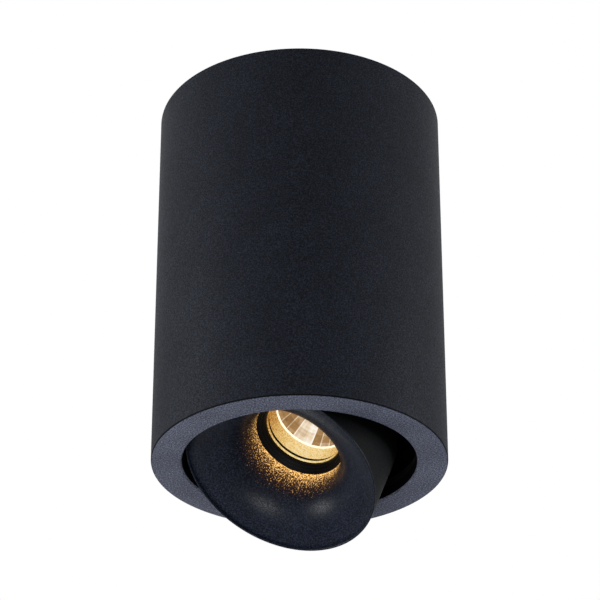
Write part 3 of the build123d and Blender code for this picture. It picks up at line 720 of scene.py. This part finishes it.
# ------------------------------------------------------------------ the finishes of this light
class Finishes:
    """Every finish of the light, each made once, and what it gives the eye."""

    # Ramps of painted light: the barrel's and the rim's lamp-lit tones, and the bowl's painted reflections.
    barrel_tones = ((0.30, "3A2208"), (0.55, "B9781F"), (0.85, "FFDE8E"), (1.0, "FFF0C4"))
    rim_tones = ((0.30, "3A2208"), (0.55, "F2DDBE"), (0.85, "FFF6E4"), (1.0, "FFF0C4"))
    bowl_tones = ((0.15, "6E4A26"), (0.5, "A98457"), (0.8, "E6D3B4"), (1.0, "FFFAF0"))

    def __init__(self) -> None:
        """Builds the materials."""
        self.coats()
        self.optics()
        self.metals()
        self.plastics()

    def coats(self) -> None:
        """Builds the powder coats."""
        # A blue-black with no gloss: the can is nearly flat in tone, with a faint grit.
        self.can_coat = PowderCoat("powder_coat_black", "090B10", "2A2F3B", shine=0.06).build()
        # The ring's coat has a coarser, lighter grit and reads as slate grey: partly its own grit, partly
        # painted light that stands for the light from below.
        self.ring_coat_with_painted_light = PowderCoat(
            "powder_coat_slate_ring", "2C2F3B", "777C90", grain=0.5, grit_share=0.75, shine=0.1
        ).build()
        # The head's smoother coat shows soft highlights in the flare; its gold grains at the throat are
        # painted light, emission that stands for the lamp's spill.
        self.head_coat = PowderCoat(
            "powder_coat_head", "080A11", "2F3647", grain=0.5, roughness=0.36, shine=0.07, glow=1.15
        ).build()
        # The head's outer wall and back have a darker copy of the head's coat: painted shade, so they fade to
        # black inside the can.
        self.head_painted_shade_coat = PowderCoat("powder_coat_head_back", "020304", "0B0D10", shine=0.04).build()
        # The can's inside has a darker copy of the can's coat, painted shade for the black gap, and it draws
        # a painted dark line round the ring.
        self.painted_shade_black = PowderCoat("powder_coat_inside", "040405", "09090B", shine=0.03).build()

    def optics(self) -> None:
        """Builds what shines, and the black ring round it."""
        # Satin black plastic: its steps show only as faint lines.
        self.ring_plastic = Moulded("abs_black_satin", "030304", roughness=0.5, shine=0.12).build()
        # The barrel's skin near the lamp is painted light: a pale yellow, sandy glow, browner on the far
        # side.
        self.lit_barrel = LitSkin("pc_barrel_lit", self.barrel_tones, power=0.64).build()
        # The bowl's strips are painted reflections: tan, cream and nearly white side by side.
        self.mirror = MirrorFacets("metallised_reflector", self.bowl_tones).build()
        # The bowl's rim is painted light, the whitest line of all.
        self.rim_painted_light = LitSkin("reflector_rim_lit", self.rim_tones).build()
        # The disc of chips burns white with a yellow edge.
        self.phosphor = Phosphor("led_phosphor_silicone", "FFC552", "FFF3D0").build()

    def metals(self) -> None:
        """Builds the metals."""
        # Zinc is a cool light grey, slightly cloudy: plate, bracket and screws.
        self.zinc = Metal("zinc_plated_steel", "B9BCBF", "8C9095", roughness=0.35).build()
        # Black oxide keeps a dull dark gleam on the socket screws.
        self.dark_steel = Metal("black_oxide_steel", "26272A", "18191B", roughness=0.4).build()
        # Brass is a warm yellow in the terminals.
        self.brass = Metal("brass_turned", "C9A45A", "8F7338").build()
        # Extruded aluminium is a pale grey with fine lines along the heat sink's axis.
        self.sink_metal = Metal(
            "aluminium_extruded", "C3C6CA", "94989D", roughness=0.38, grain=Grain.EXTRUDED
        ).build()

    def plastics(self) -> None:
        """Builds the paint, the plastics, the rubbers and the boards."""
        # Dip-coated black paint keeps the swivel's steel out of sight.
        self.dark_paint = Moulded("e_coat_black", "08080A", roughness=0.55, shine=0.15).build()
        # Natural nylon is a milky off-white.
        self.nylon = Moulded("nylon_natural", "DEDBCF", roughness=0.5).build()
        # The glide ring's plastic is a dark grey.
        self.glide = Moulded("ptfe_dark_grey", "1B1C1D", roughness=0.6, shine=0.1).build()
        # Rubber is a flat black round the cable hole.
        self.rubber = Moulded("epdm_rubber", "151516", roughness=0.8, shine=0.3).build()
        # The leads' sheath is a plain dark grey.
        self.lead_sheath = Moulded("pvc_sheath_grey", "3A3B3E", roughness=0.6).build()
        # The driver's case is a dull white.
        self.driver_plastic = Moulded("pc_driver_case", "D2D2CC", roughness=0.5).build()
        # The driver's board is green with a slight weave.
        self.board = Moulded("glass_epoxy_board", "1C4A2A", roughness=0.35, grain=0.8).build()
        # The light source's board is chalky white.
        self.ceramic = Moulded("alumina_board", "DAD8CE", roughness=0.6).build()
        # The thermal pad is a dead grey putty.
        self.pad = Moulded("silicone_pad", "74787F", roughness=0.8).build()


@dataclass
class SubAssembly:
    """What every sub-assembly has: the finishes, and the frame that it is drawn in."""

    finishes: Finishes
    place: Place


# ------------------------------------------------------------------ the can
@dataclass
class Can(SubAssembly):
    """The cylindrical can: its wall, the flat ring round its opening and the side screws."""

    outer_r: float = 48.0
    opening_r: float = 38.0
    height: float = 130.0
    wall: float = 2.5
    ring_thickness: float = 4.0
    edge: float = 0.5
    top_edge: float = 0.3
    seat_edge: float = 0.2
    fine_edge: float = 0.12
    groove: Point = (-123.32, -122.02)
    groove_r: float = 46.4
    shade_line: float = 0.15
    screw_height: float = -8.0
    screw_r: float = 1.5
    screw_gap: float = 0.1
    screw_recess: float = 0.3
    screw_inner: float = 43.46
    socket_r: float = 0.85
    socket_depth: float = 1.5
    segments: int = 288

    def section(self) -> np.ndarray:
        """Gives the can's section: an L, with a groove in the wall for the retaining ring.

        Returns:
            (radius, height) rows, closed.
        """
        low, inner = -self.height, self.outer_r - self.wall
        seat = low + self.ring_thickness
        groove_low, groove_high = self.groove
        return outline(
            [
                (self.opening_r + self.edge, low, self.fine_edge),
                (self.outer_r, low, self.edge),
                (self.outer_r, 0.0, self.top_edge),
                (inner, 0.0, self.top_edge),
                (inner, groove_high, 0.0),
                (self.groove_r, groove_high, 0.0),
                (self.groove_r, groove_low, 0.0),
                (inner, groove_low, 0.0),
                (inner, seat, 0.0),
                (self.opening_r, seat, self.seat_edge),
                (self.opening_r, low + self.edge, self.fine_edge),
            ]
        )

    def body(self) -> Piece:
        """Makes the can: its section turned about Z, with the two side holes cut in.

        Each band's finish goes by the middle of the band: 1 on the ring's face and inner edge, 2
        inside and on the last of the ring's outer rounding, where it is a darker black of painted
        shade, and 0 on the can.

        Returns:
            The can.
        """
        rows = self.section()
        low, inner = -self.height, self.outer_r - self.wall
        radius, height = ((rows + np.roll(rows, -1, axis=0)) / 2).T
        on_face = (height < low + self.fine_edge) & (radius < self.outer_r - self.edge / 2)
        on_edge = (radius < self.opening_r + self.edge + 0.1) & (height < low + self.edge + 0.1)
        # Finish 2 is painted shade: a darker black inside, and a dark line on the last of the ring's outer
        # rounding.
        inside = (radius < inner + 0.5) & (height > low + self.edge)
        in_shade = (radius > self.outer_r - self.shade_line) & (height < low + self.edge)
        finish = np.where(on_face | on_edge, 1, np.where(inside | in_shade, 2, 0))
        surface = turned(rows, self.segments, finish=finish)
        coats = [self.finishes.can_coat, self.finishes.ring_coat_with_painted_light, self.finishes.painted_shade_black]
        can = make_piece("can_body", surface, self.place, coats)
        self.cut_side_holes(can)
        return can

    def cut_side_holes(self, can: Piece) -> None:
        """Cuts the two screw holes through the wall with a boolean, and applies it.

        Args:
            can: the can.
        """
        hole_r = self.screw_r + self.screw_gap
        rod = np.array([(hole_r, self.outer_r - 4), (hole_r, self.outer_r + 2)])
        level = Place((0, 0, self.screw_height))
        cutters = [
            make_piece(f"cutter_{sign}", turned(rod, 40, closed=False), level.facing("x", sign), [])
            for sign in (1, -1)
        ]
        for cutter in cutters:
            cut = can.modifiers.new("hole", "BOOLEAN")
            cut.operation, cut.object, cut.solver = "DIFFERENCE", cutter, "EXACT"
        graph = bpy.context.evaluated_depsgraph_get()
        shaped = bpy.data.meshes.new_from_object(can.evaluated_get(graph))
        can.modifiers.clear()
        can.data = shaped
        can.data.shade_smooth()
        can.data.set_sharp_from_angle(angle=radians(SHARP))
        for cutter in cutters:
            bpy.data.objects.remove(cutter)

    def grub_screw(self) -> Surface:
        """Gives one headless screw: a chamfered shank with a hexagon socket in its outer end.

        Returns:
            The screw, drawn along Z.
        """
        r, socket_r = self.screw_r, self.socket_r
        low, high = self.screw_inner, self.outer_r - self.screw_recess
        edge, floor = 0.15 * r, high - self.socket_depth
        shank = [(r - edge, low, 0), (r, low + edge, 0), (r, high - edge, 0), (r - edge, high, 0)]
        mouth = [(socket_r + 0.08, high, 1), (socket_r, high - 0.08, 1)]
        socket = [(socket_r, floor, 1), (0.3 * socket_r, floor - 0.15, 1)]
        rows = np.array(shank + mouth + socket)
        return turned(rows[:, :2], 48, closed=False, sides=rows[:, 2])

    def side_screws(self) -> Piece:
        """Makes the two grub screws.

        Returns:
            Both screws as one piece.
        """
        level, screw = Place((0, 0, self.screw_height)), self.grub_screw()
        surface = joined([level.facing("x", sign).drawn(screw) for sign in (1, -1)])
        return make_piece("side_grub_screws", surface, self.place, [self.finishes.dark_steel])

    def build(self) -> None:
        """Makes the can's pieces and settles them on the housing."""
        settle(self.body(), "housing", "can_black", "can")
        settle(self.side_screws(), "housing", "steel_dark", "side_screws")


# ------------------------------------------------------------------ the swivel seat
@dataclass
class SwivelSeat(SubAssembly):
    """The glide ring, the swivel ring with its ears, and what holds them in the can."""

    def build(self) -> None:
        """Dresses the seat's CAD nodes."""
        dress(["glide_ring"], self.finishes.glide)
        dress(["swivel_ring", "retaining_ring"], self.finishes.dark_paint)
        dress(["swivel_stop_pin"], self.finishes.zinc)


# ------------------------------------------------------------------ the ceiling side
@dataclass
class CeilingSide(SubAssembly):
    """The ceiling plate, the terminals, the cable clamp and the driver under its bracket."""

    def build(self) -> None:
        """Dresses the CAD nodes of the ceiling side."""
        screws = ["bracket_screws", "cable_clamp_screws", "driver_screws", "earth_screw"]
        dress(["ceiling_plate", "driver_bracket", *screws, "terminal_fixing_screw"], self.finishes.zinc)
        dress(["terminal_screws", "earth_tag"], self.finishes.brass)
        dress(["terminal_block", "cable_clamp", "lead_connector"], self.finishes.nylon)
        dress(["driver_case", "driver_cover"], self.finishes.driver_plastic)
        dress(["driver_board"], self.finishes.board)
        dress(["cable_grommet"], self.finishes.rubber)
        dress(["mains_lead", "output_lead"], self.finishes.lead_sheath)


# ------------------------------------------------------------------ the lamp head
@dataclass
class LampHead(SubAssembly):
    """The head casting: thin lip, flared funnel, tapered wall, spigot, ribs and bosses."""

    lip_r: float = 33.0
    rim: float = 0.7
    taper: float = 5.0
    wall: float = 1.6
    depth: float = 26.0
    throat_r: float = 15.4
    funnel_depth: float = 18.0
    rear: float = 43.0
    rib_half: float = 0.7
    rib_rise: float = 6.0
    rib_count: int = 6
    pivot: Point = (14.4, 13.5)
    boss_r: float = 3.2
    boss_bore: float = 1.5
    boss_end: float = 35.2
    screw_grip: float = 5.0
    screw_seat: float = 38.0
    screw_r: float = 1.5
    cap_r: float = 2.6
    cap_height: float = 1.7
    socket_r: float = 1.3
    sink_boss: Point = (18.9, 2.5)
    sink_boss_bore: float = 1.25
    sink_boss_count: int = 3
    sink_boss_start: float = 7.5
    # How far the painted spill light reaches round the throat, and the sides where it reaches furthest and is
    # brightest.
    glow_reach: float = 10.5
    glow_swing: float = 1.5
    glow_far_side: float = 238.0
    glow_bright_side: float = 212.0
    rim_steps: int = 8
    flare_steps: int = 72
    segments: int = 320

    @property
    def flare_r(self) -> float:
        """The radius of the funnel's flare."""
        return self.lip_r - self.rim - self.throat_r

    def wall_r(self, depth: float) -> float:
        """The tapered wall's outer radius at a depth behind the lip."""
        return self.lip_r - depth * tan(radians(self.taper))

    def shell_rows(self) -> np.ndarray:
        """Gives the casting's section.

        The flare is the arc of radius f about (throat + f, funnel depth), a quarter turn from
        the throat to the lip, and its back is the same arc with a radius less by the wall. The
        lip is a half round, and the outer wall leans in by the taper.

        Returns:
            (radius, depth) rows, closed.
        """
        centre = (self.throat_r + self.flare_r, self.funnel_depth)
        half = self.rim / 2
        rim = arc((self.lip_r - half, half), half, 180, 360, self.rim_steps)
        end_r, spigot_r = self.wall_r(self.depth), self.throat_r + self.wall
        wall_end = [(end_r, self.depth, 0.25), (end_r - self.wall, self.depth, 0.25)]
        wall = outline([(self.lip_r, half + 1.0, 0.0), *wall_end, (self.lip_r - 1.8, 3.0, 0.0)])
        back = arc(centre, self.flare_r - self.wall, 264, 180, 36)
        inside = [(self.throat_r, self.rear), (self.throat_r, self.funnel_depth + 1.0)]
        flare = arc(centre, self.flare_r, 180, 270, self.flare_steps)
        return np.vstack([rim, wall[1:-1], back, [(spigot_r, self.rear)], inside, flare])

    def rib(self) -> Surface:
        """Gives one rib: a web from the spigot to the outer wall, down to the flare's back.

        Returns:
            The rib, in the XZ plane.
        """
        centre, sunk = (self.throat_r + self.flare_r, self.funnel_depth), self.wall / 2
        foot = arc(centre, self.flare_r - sunk, 180, 262, 24)
        outer = (self.wall_r(self.depth) - sunk, self.depth - 0.4)
        inner = (self.throat_r + sunk, self.depth + self.rib_rise)
        return plate(np.vstack([foot, [outer, inner]]), self.rib_half)

    def boss(self, side: int) -> Surface:
        """Gives one pivot boss, drawn along the tilt axis.

        Args:
            side: 1 or -1, the way that it points along Y.

        Returns:
            The boss, in the head's frame.
        """
        root = sqrt((self.wall_r(self.pivot[1]) - self.wall) ** 2 - self.pivot[0] ** 2)
        r, bore, end = self.boss_r, self.boss_bore, self.boss_end
        shell = [(r, root), (r, end - 0.3), (r - 0.3, end)]
        rows = np.array(shell + [(bore + 0.05, end), (bore, end - 0.2), (bore, root)])
        return self.on_pivot(side).drawn(turned(rows, 48))

    def on_pivot(self, side: int) -> Place:
        """Gives the frame at the pivot whose Z points out along the tilt axis."""
        return Place((self.pivot[0], 0, self.pivot[1])).facing("y", side)

    def screw_boss(self, degrees: float) -> Surface:
        """Gives one of the bosses for the heat sink's screws.

        Args:
            degrees: its place round the axis.

        Returns:
            The boss, in the head's frame.
        """
        (away, r), bore = self.sink_boss, self.sink_boss_bore
        foot = [(bore, self.depth, 0), (r, self.depth, 0)]
        boss = turned(outline(foot + [(r, self.rear, 0.2), (bore, self.rear, 0.15)]), 40)
        boss.points[:, 0] += away
        return about_z(boss, degrees)

    def glow(self, points: np.ndarray) -> np.ndarray:
        """Marks how strongly the lamp's spill is painted on each point of the funnel, as painted light.

        It falls off with the distance s along the flare from the throat, as (1 - s / reach) to
        the power 1.1. Both the reach and the strength are greater towards one side of the
        funnel, by the cosine of the angle from there.

        Args:
            points: (x, y, z) rows in the head's frame.

        Returns:
            A mark from 0 to about 1 for each point.
        """
        radius = np.hypot(points[:, 0], points[:, 1])
        centre_r = self.throat_r + self.flare_r
        turn = np.arctan2(self.funnel_depth - points[:, 2], centre_r - radius)
        along = self.flare_r * np.clip(turn, 0, None)
        angle = np.arctan2(points[:, 1], points[:, 0])
        reach = self.glow_reach + self.glow_swing * np.cos(angle - radians(self.glow_far_side))
        strength = 0.8 + 0.25 * np.cos(angle - radians(self.glow_bright_side))
        to_arc = np.abs(np.hypot(radius - centre_r, points[:, 2] - self.funnel_depth) - self.flare_r)
        front = (to_arc < 0.05) & (points[:, 2] < self.funnel_depth + 0.05) & (radius < centre_r)
        return np.clip(1 - along / reach, 0, 1) ** 1.1 * strength * front

    def casting(self) -> Piece:
        """Makes the head casting: shell, ribs and bosses. Its lip and flare have the head's coat, and the
        rest a darker copy of it: painted shade.

        Returns:
            The casting as one piece.
        """
        rows = self.shell_rows()
        # Bands marked 1 get the darker copy of the coat, painted shade: all but the lip and the flare.
        behind = np.ones(len(rows), int)
        behind[: self.rim_steps] = 0
        behind[-self.flare_steps - 1 :] = 0
        shell = turned(rows, self.segments, finish=behind)
        step = 360 / self.rib_count
        turn = 360 / self.sink_boss_count
        parts = [shell]
        parts += [about_z(self.rib(), step * k + step / 2) for k in range(self.rib_count)]
        parts += [self.boss(side) for side in (1, -1)]
        parts += [self.screw_boss(self.sink_boss_start + turn * k) for k in range(self.sink_boss_count)]
        surface = joined(parts)
        # The glow mark sets the painted spill light; the ribs and bosses take the painted-shade copy of the
        # coat.
        surface.marks["glow"] = self.glow(surface.points)
        surface.finish[len(shell.faces) :] = 1
        coats = [self.finishes.head_coat, self.finishes.head_painted_shade_coat]
        return make_piece("head_casting", surface, self.place, coats)

    def pivot_screws(self) -> Piece:
        """Makes the two pivot screws, with domed heads and hexagon sockets.

        Returns:
            Both screws as one piece.
        """
        tip, seat = self.boss_end - self.screw_grip, self.screw_seat
        top = seat + self.cap_height
        r, cap_r, socket_r = self.screw_r, self.cap_r, self.socket_r
        shank = [(r - 0.2, tip, 0), (r, tip + 0.2, 0), (r, seat, 0)]
        cap = [(cap_r - 0.05, seat, 0), (cap_r, seat + 0.1, 0), (cap_r, top - 0.8, 0)]
        dome = [(cap_r - 0.15, top - 0.4, 0), (cap_r - 0.5, top - 0.1, 0), (cap_r - 0.9, top, 0)]
        mouth = [(socket_r + 0.05, top, 1), (socket_r, top - 0.08, 1)]
        socket = [(socket_r, top - 1.0, 1), (0.4, top - 1.15, 1)]
        rows = np.array(shank + cap + dome + mouth + socket)
        screw = turned(rows[:, :2], 60, closed=False, sides=rows[:, 2])
        surface = joined([self.on_pivot(side).drawn(screw) for side in (1, -1)])
        return make_piece("pivot_cap_screws", surface, self.place, [self.finishes.dark_steel])

    def build(self) -> None:
        """Makes the head's pieces and settles them on the head."""
        settle(self.casting(), "head", "head_black", "head_shell")
        settle(self.pivot_screws(), "head", "steel_dark", "pivot_screws")
        dress(["friction_washers"], self.finishes.nylon)
        dress(["spring_washers"], self.finishes.zinc)


# ------------------------------------------------------------------ the light source
@dataclass
class LightSource(SubAssembly):
    """What shines in the head: the stepped black ring, the lit barrel, the bowl and the disc."""

    outer_r: float = 15.3
    mouth_r: float = 13.05
    front: float = 18.0
    steps: int = 3
    step_depth: float = 0.77
    step_slope: float = 0.35
    barrel_front: float = 21.21
    barrel_r: float = 12.9
    barrel_lip: float = 0.3
    barrel_end: float = 40.7
    lip_width: float = 0.5
    groove_depth: float = 0.1
    groove_end: float = 1.7
    # Where the barrel's painted light is brightest, how much it swings round, and its least.
    lit_side: float = 225.0
    lit_swing: float = 0.32
    lit_least: float = 0.08
    reflector_front: float = 28.71
    reflector_depth: float = 12.0
    reflector_base_r: float = 5.6
    reflector_wall: float = 0.7
    reflector_seat: float = 0.5
    rim: float = 0.8
    # The rim's even painted light.
    rim_lit: float = 0.35
    sides: int = 24
    side_columns: int = 8
    tiers: int = 5
    tier_rows: int = 4
    facet_sharp: float = 4.0
    # Where the bowl's painted reflection of the lamp peaks, and the bright painted seams round it.
    bright_side: float = 240.0
    bright_width: float = 13.0
    seam_gap: float = 8.0
    seam_reach: float = 50.0
    emitter_r: float = 4.6
    emitter: Point = (41.45, 41.8)
    segments: int = 240

    def stepped_ring(self) -> Piece:
        """Makes the anti-glare ring: each step is a short ledge and a slope, its edge rounded.

        Returns:
            The ring.
        """
        width = (self.outer_r - self.mouth_r) / self.steps
        corners = [(self.outer_r, self.front, 0.0)]
        for k in range(self.steps):
            depth = self.front + k * self.step_depth
            corners.append((self.outer_r - (k + self.step_slope) * width, depth, 0.12))
            corners.append((self.outer_r - (k + 1) * width, depth + self.step_depth, 0.08))
        corners += [(self.mouth_r, self.barrel_front, 0.0), (self.outer_r, self.barrel_front, 0.0)]
        surface = turned(outline(corners), self.segments)
        return make_piece("stepped_black_ring", surface, self.place, [self.finishes.ring_plastic])

    def barrel(self) -> Piece:
        """Makes the barrel: a gold front lip, a groove in painted shade, then the wall; lip and wall
        carry painted light.

        The "lit" mark, which sets the painted light, is a + b * cos(angle - side) to the power 1.5:
        brightest on the side that the bowl throws its light on, and browner opposite.

        Returns:
            The barrel.
        """
        start, r = self.barrel_front, self.barrel_r
        lip_r, groove_r, seat_r = r - self.barrel_lip, r + self.groove_depth, r + self.reflector_seat
        lip_end, groove_end = start + self.lip_width, start + self.groove_end
        lip = [(self.outer_r, start), (lip_r + 0.1, start), (lip_r, start + 0.1), (lip_r, lip_end)]
        groove = [(groove_r, lip_end + 0.05), (groove_r, groove_end), (r, groove_end + 0.05)]
        wall = [(r, start + 3.0), (r, start + 5.0), (r, self.reflector_front)]
        seat = [(seat_r, self.reflector_front), (seat_r, self.barrel_end), (self.outer_r, self.barrel_end)]
        # Finish 1, the painted-shade black, is on the groove and on the hidden back.
        finish = np.array([0, 0, 0, 1, 1, 1, 0, 0, 0, 0, 1, 1, 1])
        surface = turned(np.array(lip + groove + wall + seat), self.segments, finish=finish)
        angle = np.arctan2(surface.points[:, 1], surface.points[:, 0])
        towards = np.clip(np.cos(angle - radians(self.lit_side)), 0, None)
        surface.marks["lit"] = self.lit_swing * towards**1.5 + self.lit_least
        coats = [self.finishes.lit_barrel, self.finishes.painted_shade_black]
        return make_piece("lit_barrel", surface, self.place, coats)

    def bowl_r(self, depths: np.ndarray) -> np.ndarray:
        """Gives the bowl's corner radii: their squares fall in step with depth, as on a parabola.

        Args:
            depths: depths behind the lip.

        Returns:
            The radius at each depth.
        """
        fall = (self.barrel_r**2 - self.reflector_base_r**2) / self.reflector_depth
        left = self.reflector_front + self.reflector_depth - depths
        return np.sqrt(self.reflector_base_r**2 + fall * left)

    def reflector(self) -> Piece:
        """Makes the bowl: flat strips in tiers, a round rim, and a plain back.

        Returns:
            The bowl, with a tone of painted reflection on each face.
        """
        rim_r = self.barrel_r + self.reflector_seat - 0.1
        front, end = self.reflector_front, self.reflector_front + self.reflector_depth
        bands = self.tiers * self.tier_rows
        depths = np.linspace(front, end, self.tiers + 1)
        inner_depths = np.linspace(front, end, bands + 1)
        inner_r = np.interp(inner_depths, depths, self.bowl_r(depths)) - 0.02
        inner = np.column_stack([inner_r, inner_depths])
        outer = np.column_stack([self.bowl_r(depths) + self.reflector_wall, depths])[::-1]
        rows = np.vstack([[(rim_r, front)], inner, outer[:-1], [(rim_r, front + self.rim)]])
        sides = np.ones(len(rows))
        sides[[0, -1]] = 0
        finish = np.zeros(len(rows), int)
        # The rim's bands take the rim's painted light.
        finish[:2] = 1
        columns = self.sides * self.side_columns
        surface = turned(rows, columns, sides=sides, side_count=self.sides, finish=finish)
        # Each face's tone is its painted reflection; the even lit mark is the rim's painted light.
        surface.face_marks["tone"] = self.tones(len(rows))
        surface.marks["lit"] = np.full(len(surface.points), self.rim_lit)
        coats = [self.finishes.mirror, self.finishes.rim_painted_light]
        return make_piece("faceted_reflector", surface, self.place, coats, sharp=self.facet_sharp)

    def tones(self, row_count: int) -> np.ndarray:
        """Marks each face of the bowl with the painted reflection of what its strip would mirror.

        The strip at angle A has a base that swings gently with A, is a little lighter on every
        other strip, and has a peak of exp(-(d / width)^4), d being how far A is from the bright
        side. The seams near the peak are painted bright too, but not those inside it. The peak's
        strips show a faint painted grid of the chips, and every other tier is painted a little darker.

        Args:
            row_count: rows of the bowl's section.

        Returns:
            A tone from 0 to 1 for each face, row by row.
        """
        columns = np.arange(self.sides * self.side_columns)
        strip, column = np.divmod(columns, self.side_columns)
        angle = (strip + 0.5) * 360 / self.sides
        away = (angle - self.bright_side + 180) % 360 - 180
        peak = np.exp(-((away / self.bright_width) ** 4))
        swing = 0.06 * np.cos(np.radians(angle - 190))
        base = 0.27 + swing + 0.1 * np.mod(strip, 2) + 0.42 * peak
        edge = away - 180 / self.sides
        near_peak = (1 - np.exp(-((edge / self.seam_gap) ** 4))) * np.exp(-((edge / self.seam_reach) ** 2))
        seam = 0.45 * (column == 0) * near_peak
        row = np.arange(row_count)[:, None]
        chips = 0.045 * peak * (np.mod(row, 2) + np.mod(column // 2, 2))
        tier = 0.1 * np.mod(row // self.tier_rows, 2)
        return np.clip(base + seam - chips - tier, 0, 1).ravel()

    def disc(self) -> Piece:
        """Makes the phosphor disc: a low dome whose height falls with the square of the radius.

        Returns:
            The disc, on a flat back.
        """
        front, back = self.emitter
        radius = np.linspace(0.2, self.emitter_r, 10)
        dome = np.column_stack([radius, front + (back - front) * 0.5 * (radius / self.emitter_r) ** 2])
        surface = turned(np.vstack([dome, [(self.emitter_r, back), (0.2, back)]]), 96, closed=False)
        return make_piece("phosphor_disc", surface, self.place, [self.finishes.phosphor])

    def build(self) -> None:
        """Makes the light source's pieces and settles them on the head."""
        settle(self.stepped_ring(), "head", "plastic_black", "anti_glare_ring")
        settle(self.barrel(), "head", "optic_cream", "optic_tube")
        settle(self.reflector(), "head", "reflector_bright", "reflector")
        settle(self.disc(), "head", "led_phosphor", "led_emitter")
        dress(["led_board"], self.finishes.ceramic)
        dress(["led_holder"], self.finishes.nylon)
        dress(["led_screws"], self.finishes.zinc)
        dress(["thermal_pad"], self.finishes.pad)


# ------------------------------------------------------------------ the cooling
@dataclass
class Cooling(SubAssembly):
    """The finned heat sink, its screws, and the lead that leaves its core."""

    def build(self) -> None:
        """Dresses the cooling's CAD nodes."""
        dress(["heat_sink"], self.finishes.sink_metal)
        dress(["heat_sink_screws"], self.finishes.zinc)
        dress(["lead_grommet"], self.finishes.rubber)
        dress(["head_lead"], self.finishes.lead_sheath)


# ------------------------------------------------------------------ the studio
@dataclass(frozen=True)
class Lamp:
    """A soft square lamp that looks at the lamp head: its place and side in metres, and its power."""

    name: str
    at: Spot
    side: float
    watts: float

    def build(self) -> None:
        """Makes the lamp, which the camera itself doesn't see."""
        light = bpy.data.lights.new(self.name, "AREA")
        light.shape, light.size, light.energy = "SQUARE", self.side, self.watts
        lamp = bpy.data.objects.new(self.name, light)
        lamp.location = self.at
        aim = Vector((0, 0, -0.1)) - Vector(self.at)
        lamp.rotation_euler = aim.to_track_quat("-Z", "Y").to_euler()
        lamp.visible_camera = False
        bpy.context.scene.collection.objects.link(lamp)


@dataclass
class Studio:
    """Plain pale floor, white surroundings, soft lamps and the photograph's camera.

    Its places are in metres. The front lamp draws the flare's highlight, the back one lights the
    ring, and the two at the sides light the can's edges.
    """

    camera_at: Spot = (0.000155, -0.7635, -0.5066)
    pitch: float = 29.83
    sensor: float = 36.0
    lens: float = 157.92
    floor_at: float = -1.2
    floor_half: float = 6.0
    floor_steps: int = 8
    floor_lift: float = 0.4
    surrounding_light: float = 0.42
    lamps: tuple[Lamp, ...] = (
        Lamp("lamp_front", (-0.2, -0.56, -0.6), 0.25, 4.6),
        Lamp("lamp_back", (-0.28, 0.61, -0.57), 0.22, 1.3),
        Lamp("lamp_left", (-0.9, -0.15, -0.02), 0.35, 9.0),
        Lamp("lamp_right", (0.9, -0.1, -0.12), 0.35, 9.0),
    )

    def floor(self) -> None:
        """Makes the floor: a level grid, z = floor_at, of matt paper that the camera sees as white.

        The lift is light that only the camera sees, so the object's shadow stays.
        """
        line, steps = np.linspace(-self.floor_half, self.floor_half, self.floor_steps + 1), self.floor_steps
        x, y = np.meshgrid(line, line, indexing="ij")
        points = np.stack([x, y, np.full_like(x, self.floor_at)], axis=2).reshape(-1, 3) / MM
        i, j = np.meshgrid(np.arange(steps), np.arange(steps), indexing="ij")
        corner, row = i * (steps + 1) + j, steps + 1
        quads = np.stack([corner, corner + row, corner + row + 1, corner + 1], axis=2).reshape(-1, 4)
        surface = Surface(points, quads.tolist(), np.zeros(len(quads), int))
        paper = Moulded("studio_floor_paper", "E8E8E6", roughness=0.9, grain=3.0, shine=0.1).build()
        tree = paper.node_tree
        shader = next(n for n in tree.nodes if n.type == "BSDF_PRINCIPLED")
        seen = add_node(tree, "LightPath").outputs["Is Camera Ray"]
        lift = add_node(tree, "Math", {0: seen, 1: self.floor_lift}, operation="MULTIPLY")
        tree.links.new(lift.outputs[0], shader.inputs["Emission Strength"])
        shader.inputs["Emission Color"].default_value = linear("FAFAF8")
        make_piece("studio_floor", surface, Place(), [paper])

    def surroundings(self) -> None:
        """Makes the world: white to the camera and to reflections, plain grey as a light."""
        world = bpy.data.worlds.new("studio_surroundings")
        bpy.context.scene.world = world
        world.use_nodes = True
        tree = world.node_tree
        tree.nodes.clear()
        rays = add_node(tree, "LightPath").outputs
        seen = rays["Is Camera Ray"]
        for kind in ("Is Glossy Ray", "Is Transmission Ray"):
            seen = add_node(tree, "Math", {0: seen, 1: rays[kind]}, operation="MAXIMUM").outputs[0]
        level = add_node(tree, "MapRange", {"Value": seen, "To Min": self.surrounding_light, "To Max": 1.0})
        light = add_node(tree, "Background", {"Color": (1, 1, 1, 1), "Strength": level.outputs[0]})
        add_node(tree, "OutputWorld", {"Surface": light.outputs[0]})

    def camera(self) -> None:
        """Makes the camera at the photograph's place, with the photograph's angle of view."""
        data = bpy.data.cameras.new("photo_camera")
        data.sensor_width, data.lens, data.clip_start = self.sensor, self.lens, 0.01
        camera = bpy.data.objects.new("photo_camera", data)
        camera.location = self.camera_at
        camera.rotation_euler = Euler((radians(90 + self.pitch), 0, 0))
        bpy.context.scene.collection.objects.link(camera)
        bpy.context.scene.camera = camera

    def build(self) -> None:
        """Makes the studio."""
        self.floor()
        self.surroundings()
        for lamp in self.lamps:
            lamp.build()
        self.camera()
        bpy.context.scene.view_settings.view_transform = "Standard"


def main() -> None:
    """Builds the light from its sub-assemblies, then the studio."""
    logging.basicConfig(level=logging.INFO, format="%(name)s %(message)s")
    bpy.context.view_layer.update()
    finishes = Finishes()
    upright, leaning = Place(), head_place()
    Can(finishes, upright).build()
    SwivelSeat(finishes, upright).build()
    CeilingSide(finishes, upright).build()
    LampHead(finishes, leaning).build()
    LightSource(finishes, leaning).build()
    Cooling(finishes, leaning).build()
    Studio().build()


if __name__ == "__main__":
    main()
